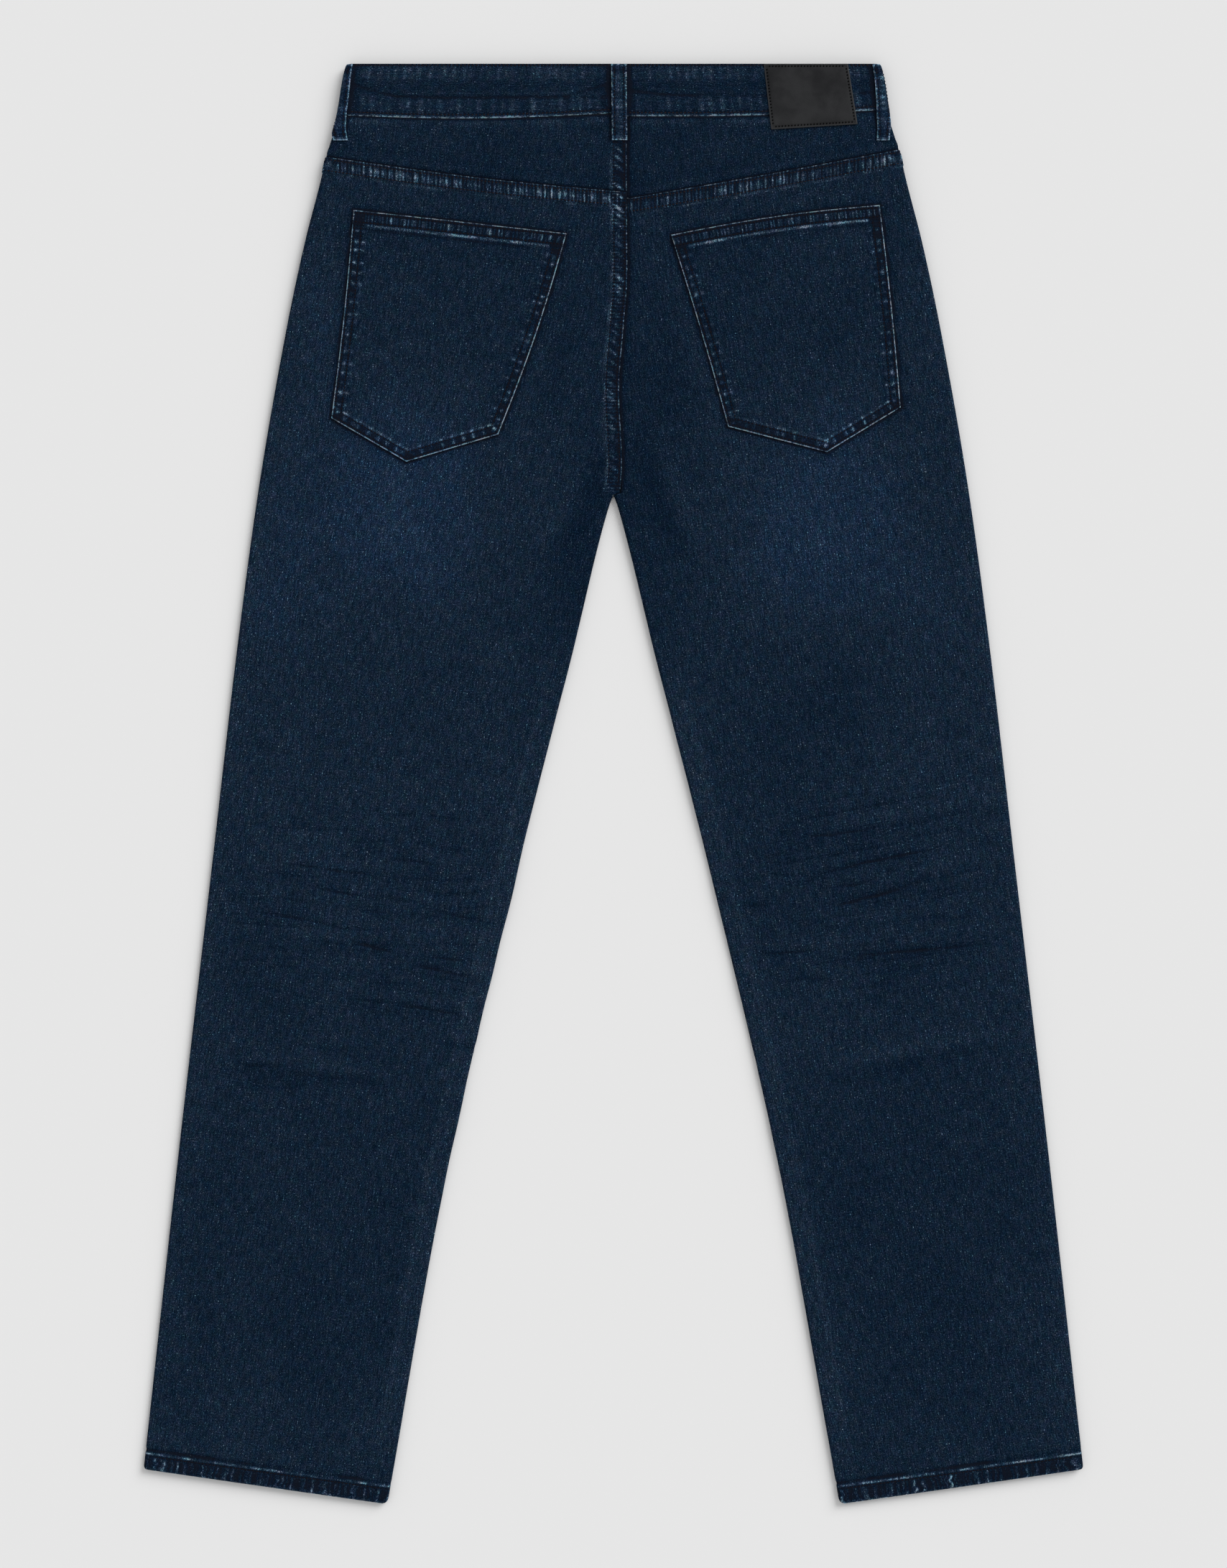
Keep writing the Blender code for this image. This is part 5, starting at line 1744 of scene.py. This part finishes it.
loops = {"loop_back": makeFlatLoop("backLoop", "back", right, backLoopCentre, 0.0004, 160, lean=0.0006)}
frontLoopTop = float(lineDown(bandTop["front"], 0.45)) + 0.001
for side, word in words.items():
    loops["loop_side_" + word] = makeSideLoop(side)
    loops["loop_front_" + word] = makeFlatLoop(
        word + "FrontLoop", "front", side, loop["frontAcross"], frontLoopTop, 170 + side
    )
print("belt loops made")


# leather patch, left bare

patch = {
    "innerTop": (0.1182, 0.0004),
    "outerTop": (0.1844, 0.0004),
    "outerFoot": (0.1920, 0.0478),
    "innerFoot": (0.1241, 0.0520),
    "size": (0.067, 0.050),
    "wall": 0.0013,
    "row": leather["row"],
    "stitches": (0.0025, 0.00068, 0.0011),  # their pitch, radius and length
}


def patchPlan(share, fall):
    s, f = np.broadcast_arrays(share, fall)
    s, f = s[..., None], f[..., None]
    top = mix(np.array(patch["innerTop"]), np.array(patch["outerTop"]), s)
    foot = mix(np.array(patch["innerFoot"]), np.array(patch["outerFoot"]), s)
    place = mix(top, foot, f)
    return place[..., 0], place[..., 1]


def patchHeight(across, down, lift):
    middle, half = levels(0.02)
    rise = middle + half + seam["bandProud"] + seam["gap"] + lift
    return inFrame(right, across, down, rise)


def patchLift(across, down, edge):
    lift = 0.00018 * noise2(across / 0.016, down / 0.014, 181)
    lift = lift - 0.00035 * bell(edge - patch["row"], 0.0007)
    return patch["wall"] + lift - 0.0005 * np.exp(-edge / 0.0005)


def makePatch():
    fine = [0, 0.006, 0.014, 0.026, 0.042]
    run = np.concatenate([fine, np.linspace(0.06, 0.94, 56), [0.958, 0.974, 0.986, 0.994, 1]])
    across, down = patchPlan(run[None, :], run[:, None])
    wide, tall = patch["size"]
    near = np.minimum(run, 1 - run)
    edge = np.minimum(near[None, :] * wide, near[:, None] * tall)
    outer = patchHeight(across, down, patchLift(across, down, edge))
    inner = patchHeight(across, down, 0.0)
    grain = np.stack([across, down], axis=-1)
    return clothShell("leatherPatch", outer, inner, {"edge": edge}, grain, blackLeather, step=4)


leatherPatch = makePatch()


# stitches, as joined rows of short raised threads

# rings along one stitch: share of its length, of its radius, and height over the cloth
stitchRings = (
    (0.0, 0.45, -1.0), (0.22, 0.95, 0.45), (0.5, 1.0, 0.75), (0.78, 0.95, 0.45), (1.0, 0.45, -1.0)
)
stitches = {}


def stitchRow(points, normals, pitch=stitch["pitch"], radius=stitch["radius"], length=stitch["length"]):
    # corners and faces of one row of stitches along a dense path on the cloth
    steps = np.linalg.norm(np.diff(points, axis=0), axis=1)
    runs = np.concatenate([[0], np.cumsum(steps)])
    count = max(1, int((runs[-1] - length) / pitch))

    def at(run):
        place = np.stack([np.interp(run, runs, points[:, k]) for k in range(3)], axis=-1)
        normal = np.stack([np.interp(run, runs, normals[:, k]) for k in range(3)], axis=-1)
        return place, normal / np.linalg.norm(normal, axis=-1, keepdims=True)

    starts = (runs[-1] - (count - 1) * pitch - length) / 2 + pitch * np.arange(count)
    sides = stitch["sides"]
    angles = 2 * np.pi * np.arange(sides) / sides
    rings = []
    for share, fat, height in stitchRings:
        place, normal = at(starts + share * length)
        ahead, _ = at(starts + share * length + 0.0002)
        behind, _ = at(starts + share * length - 0.0002)
        tangent = ahead - behind
        tangent /= np.linalg.norm(tangent, axis=-1, keepdims=True)
        across = np.cross(normal, tangent)
        centre = place + normal * height * stitch["sink"]
        ring = [centre + radius * fat * (math.cos(a) * across + math.sin(a) * normal) for a in angles]
        rings.append(np.stack(ring, axis=1))
    verts = np.stack(rings, axis=1)  # stitch, ring, side, xyz
    base = np.arange(count)[:, None] * len(rings) * sides
    faces = []
    for r in range(len(rings) - 1):
        for s in range(sides):
            after = (s + 1) % sides
            quad = np.array(
                [r * sides + s, r * sides + after, (r + 1) * sides + after, (r + 1) * sides + s]
            )
            faces += (base + quad[None, :]).tolist()
    for ring, order in ((0, -1), (len(rings) - 1, 1)):
        cap = ring * sides + np.arange(sides)[::order]
        faces += (base + cap[None, :]).tolist()
    return verts.reshape(-1, 3), faces


def makeStitches(name, rows, material):
    verts, faces, count = [], [], 0
    for row in rows:
        corners, ringFaces = stitchRow(*row)
        verts.append(corners)
        faces += [[i + count for i in face] for face in ringFaces]
        count += len(corners)
    mesh = bpy.data.meshes.new(name)
    mesh.from_pydata(np.concatenate(verts).tolist(), [], faces)
    stitches[name] = finishMesh(name, mesh, material)


def yokeSeamRow(side, off):
    share = np.linspace(0.012 if side == right else 0.058, 0.992, 500)
    down = lineDown(yokeLine[side], share) + off
    inner, outer = innerEdge("back", side, down), outerEdge(down)
    across = mix(inner, outer, share)
    lift, _, _ = backRelief(side, across, down, share)
    return clothPoint("back", side, across, down, lift)


def centreSeamRow(off):
    rows = []
    for part, start, end in (("yoke", 0.0595, 0.0985), ("leg", 0.1035, 0.3310)):
        down = np.linspace(start, end, 400)
        across = innerEdge("back", left, down) + off
        share = (across - innerEdge("back", left, down)) / (
            outerEdge(down) - innerEdge("back", left, down)
        )
        relief = yokeRelief if part == "yoke" else backRelief
        lift, _, _ = relief(left, across, down, share)
        rows.append(clothPoint("back", left, across, down, lift))
    return rows


def hemRow(layer, side):
    share = np.linspace(0.03, 0.97, 500)
    down = lineDown(hemLine, share) - seam["hemRow"]
    inner, outer = innerEdge(layer, side, down), outerEdge(down)
    across = mix(inner, outer, share)
    lift = backRelief(side, across, down, share)[0] if layer == "back" else 0 * across
    return clothPoint(layer, side, across, down, lift)


def bandRow(layer, side, fromTop=None, fromFoot=None):
    across = np.linspace(0.001, float(outerEdge(0.02)) - 0.0042, 600)
    share = across / float(outerEdge(0.02))
    start, foot = lineDown(bandTop[layer], share), lineDown(bandFoot[layer, side], share)
    down = start + fromTop if fromTop is not None else foot - fromFoot
    middle, half = levels(down)
    sign = upwards[layer]
    height = middle + sign * (half + seam["bandProud"] - 0.0002)
    points = inFrame(side, across, down, height)
    normals = np.zeros_like(points)
    normals[:, 2] = sign
    return points, normals


def pocketRow(side, inset, keys, hemOnly=False):
    # a row of stitches a set distance inside the named edges of a pocket
    lines = pocketEdges(side)
    across = np.concatenate([lines[key][0] for key in keys])
    down = np.concatenate([lines[key][1] for key in keys])
    keep = np.concatenate([[True], np.hypot(np.diff(across), np.diff(down)) > 1e-7])
    across, down = across[keep], down[keep]
    # shift the path inwards, and cut what the corners make it repeat
    da, dd = np.gradient(across), np.gradient(down)
    size = np.hypot(da, dd)
    na, nd = -dd / size, da / size
    centre = pocketPlan(side, np.array([0.5]), np.array([0.5]))
    flip = 1.0 if float(np.sum(na * (centre[0] - across) + nd * (centre[1] - down))) > 0 else -1.0
    pa, pd = across + flip * na * inset, down + flip * nd * inset
    away = np.min(
        [distanceTo(lines[key], pa, pd)[0] for key in lines if key != "top" or hemOnly], axis=0
    )
    inside = (away > inset - 0.00025) if not hemOnly else (away > -1)
    fromTop = distanceTo(lines["top"], pa, pd)[0]
    if not hemOnly:
        inside = inside & (fromTop > 0.0016)
    pa, pd = pa[inside], pd[inside]
    base = panelLift(side, pa, pd)
    thick = 0.0005 if hemOnly else 0.0
    return clothPoint("back", side, pa, pd, base + seam["gap"] + pocket["wall"] + thick - 0.00012)


def loopRows(piece, columns):
    # rows of stitches down a loop, read from its own outer face
    rows, wide = loop["rows"], loop["sideColumns" if "Side" in piece.name else "columns"]
    co = np.zeros(len(piece.data.vertices) * 3)
    piece.data.vertices.foreach_get("co", co)
    face = co.reshape(-1, 3)[:rows * wide].reshape(rows, wide, 3)
    out = []
    for share in columns:
        column = share * (wide - 1)
        k = int(column)
        path = mix(face[:, k], face[:, min(k + 1, wide - 1)], column - k)
        across = face[:, min(k + 1, wide - 1)] - face[:, k]
        along = np.gradient(face[:, k], axis=0)
        normal = np.cross(across, along)
        normal /= np.linalg.norm(normal, axis=-1, keepdims=True)
        middle = float(levels(0.02)[0])
        outward = np.stack([np.zeros(rows), np.zeros(rows), path[:, 2] - middle], axis=-1)
        if np.sum(normal * outward) < 0:
            normal = -normal
        out.append((path[2:-2], normal[2:-2]))
    return out


def patchRow():
    lines = []
    m = patch["row"]
    wide, tall = patch["size"]
    low, high = (m / wide, 1 - m / wide), (m / tall, 1 - m / tall)
    run = np.linspace(0, 1, 120)
    sides = (
        (mix(low[0], low[1], run), 0 * run + high[0]),
        (0 * run + low[1], mix(high[0], high[1], run)),
        (mix(low[1], low[0], run), 0 * run + high[1]),
        (0 * run + low[0], mix(high[1], high[0], run)),
    )
    for share, fall in sides:
        across, down = patchPlan(share, fall)
        points = patchHeight(across, down, patchLift(across, down, 0 * across + m))
        normals = np.zeros_like(points)
        normals[:, 2] = 1.0
        lines.append((points, normals, *patch["stitches"]))
    return lines


for side, word in words.items():
    seamRows = [yokeSeamRow(side, seam["firstRow"]), yokeSeamRow(side, seam["secondRow"])]
    makeStitches(word + "YokeStitches", seamRows, rustThread)
    pocketRows = [pocketRow(side, inset, sideKeys) for inset in pocket["sideRows"]]
    pocketRows += [pocketRow(side, inset, ("top",), hemOnly=True) for inset in pocket["hemRows"]]
    makeStitches(word + "PocketStitches", pocketRows, darkThread)
    hemRows = [hemRow(layer, side) for layer in ("back", "front")]
    makeStitches(word + "HemStitches", hemRows, darkThread)
centreRows = centreSeamRow(seam["firstRow"]) + centreSeamRow(seam["secondRow"])
makeStitches("centreSeamStitches", centreRows, darkThread)
bandRows = []
for layer in ("back", "front"):
    for side in (left, right):
        bandRows.append((*bandRow(layer, side, fromTop=band["topRow"]), band["stitchPitch"]))
        bandRows.append((*bandRow(layer, side, fromFoot=band["footRow"]), band["stitchPitch"]))
makeStitches("waistbandStitches", bandRows, rustThread)
loopStitchRows = []
for piece in loops.values():
    loopStitchRows += loopRows(piece, loop["stitchShares"])
makeStitches("loopStitches", loopStitchRows, darkThread)
makeStitches("patchStitches", patchRow(), threadMaterial("blackThread", (0.0010, 0.0010, 0.0012)))
print("stitches made", sum(len(s.data.polygons) for s in stitches.values()))


# hardware that the CAD holds, with its finish

for nodeName, material in (
    ("button", agedMetal), ("zip", threadMaterial("zipTape", (0.012, 0.014, 0.020)))
):
    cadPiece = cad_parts[nodeName]
    cadPiece.data.materials.clear()
    cadPiece.data.materials.append(material)


# what each piece stands for: each hangs from the root, and its CAD node is hidden

sheets = []  # piece, CAD node, what it lies on, its stitches
for side, word in words.items():
    legUnder = word + "LegFront"
    sheets.append((legs["back", side], "back_" + word, [legUnder], [stitches[word + "HemStitches"]]))
    sheets.append((legs["front", side], "front_" + word, ["floor"], []))
    sheets.append((yokes[side], "yoke_" + word, [legUnder], [stitches[word + "YokeStitches"]]))
    legName = legs["back", side].name
    sheets.append((pockets[side], "pocket_" + word, [legName], [stitches[word + "PocketStitches"]]))
under = ["leftLegFront", "rightLegFront"]
sheets.append((waistband, "waistband", under, [stitches["waistbandStitches"]]))
sheets += [(piece, nodeName, [waistband.name], []) for nodeName, piece in loops.items()]

for piece, nodeName, restsOn, stitchPieces in sheets:
    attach(piece, "root")
    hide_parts(nodeName)
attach(leatherPatch, "root")
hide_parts("patch")
for piece in stitches.values():
    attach(piece, "root")


# floor, light and camera

studio = {
    "floor": (0.806, 0.806, 0.806),
    "floorSize": 12.0,
    "floorRoughness": 0.95,
    "sky": 0.62,
    "sun": 2.1,
    "sunElevation": 33,
    "sunAzimuth": 45,  # from +X towards +Y
    "sunSize": 38,
    "cameraHeight": 3.0,
    "frameHeight": 1.2356,  # metres of the surface that the frame's height takes in
    "clothHeight": 0.005,
}

bpy.ops.mesh.primitive_plane_add(size=studio["floorSize"], location=(0, 0, 0))
floor = bpy.context.object
floor.name = "floor"
floorMaterial, _, floorShader = newMaterial("paleFloor")
floorShader.inputs["Base Color"].default_value = (*studio["floor"], 1.0)
floorShader.inputs["Roughness"].default_value = studio["floorRoughness"]
floorShader.inputs["Specular IOR Level"].default_value = 0.0
floor.data.materials.append(floorMaterial)

world = bpy.data.worlds.new("studio")
world.use_nodes = True
world.node_tree.nodes["Background"].inputs["Color"].default_value = (1.0, 1.0, 1.0, 1.0)
world.node_tree.nodes["Background"].inputs["Strength"].default_value = studio["sky"]
bpy.context.scene.world = world

sunData = bpy.data.lights.new("softSun", "SUN")
sunData.energy = studio["sun"]
sunData.angle = math.radians(studio["sunSize"])
sun = bpy.data.objects.new("softSun", sunData)
azimuth, elevation = math.radians(studio["sunAzimuth"]), math.radians(studio["sunElevation"])
sun.rotation_euler = (0.0, math.pi / 2 - elevation, azimuth)
bpy.context.scene.collection.objects.link(sun)

cameraData = bpy.data.cameras.new("overhead")
cameraData.sensor_width = 36.0
cameraData.lens = 36.0 * (studio["cameraHeight"] - studio["clothHeight"]) / studio["frameHeight"]
cameraData.clip_end = 50.0
camera = bpy.data.objects.new("overhead", cameraData)
camera.location = (0.0, 0.0, studio["cameraHeight"])
bpy.context.scene.collection.objects.link(camera)
bpy.context.scene.camera = camera
bpy.context.scene.view_settings.view_transform = "Standard"
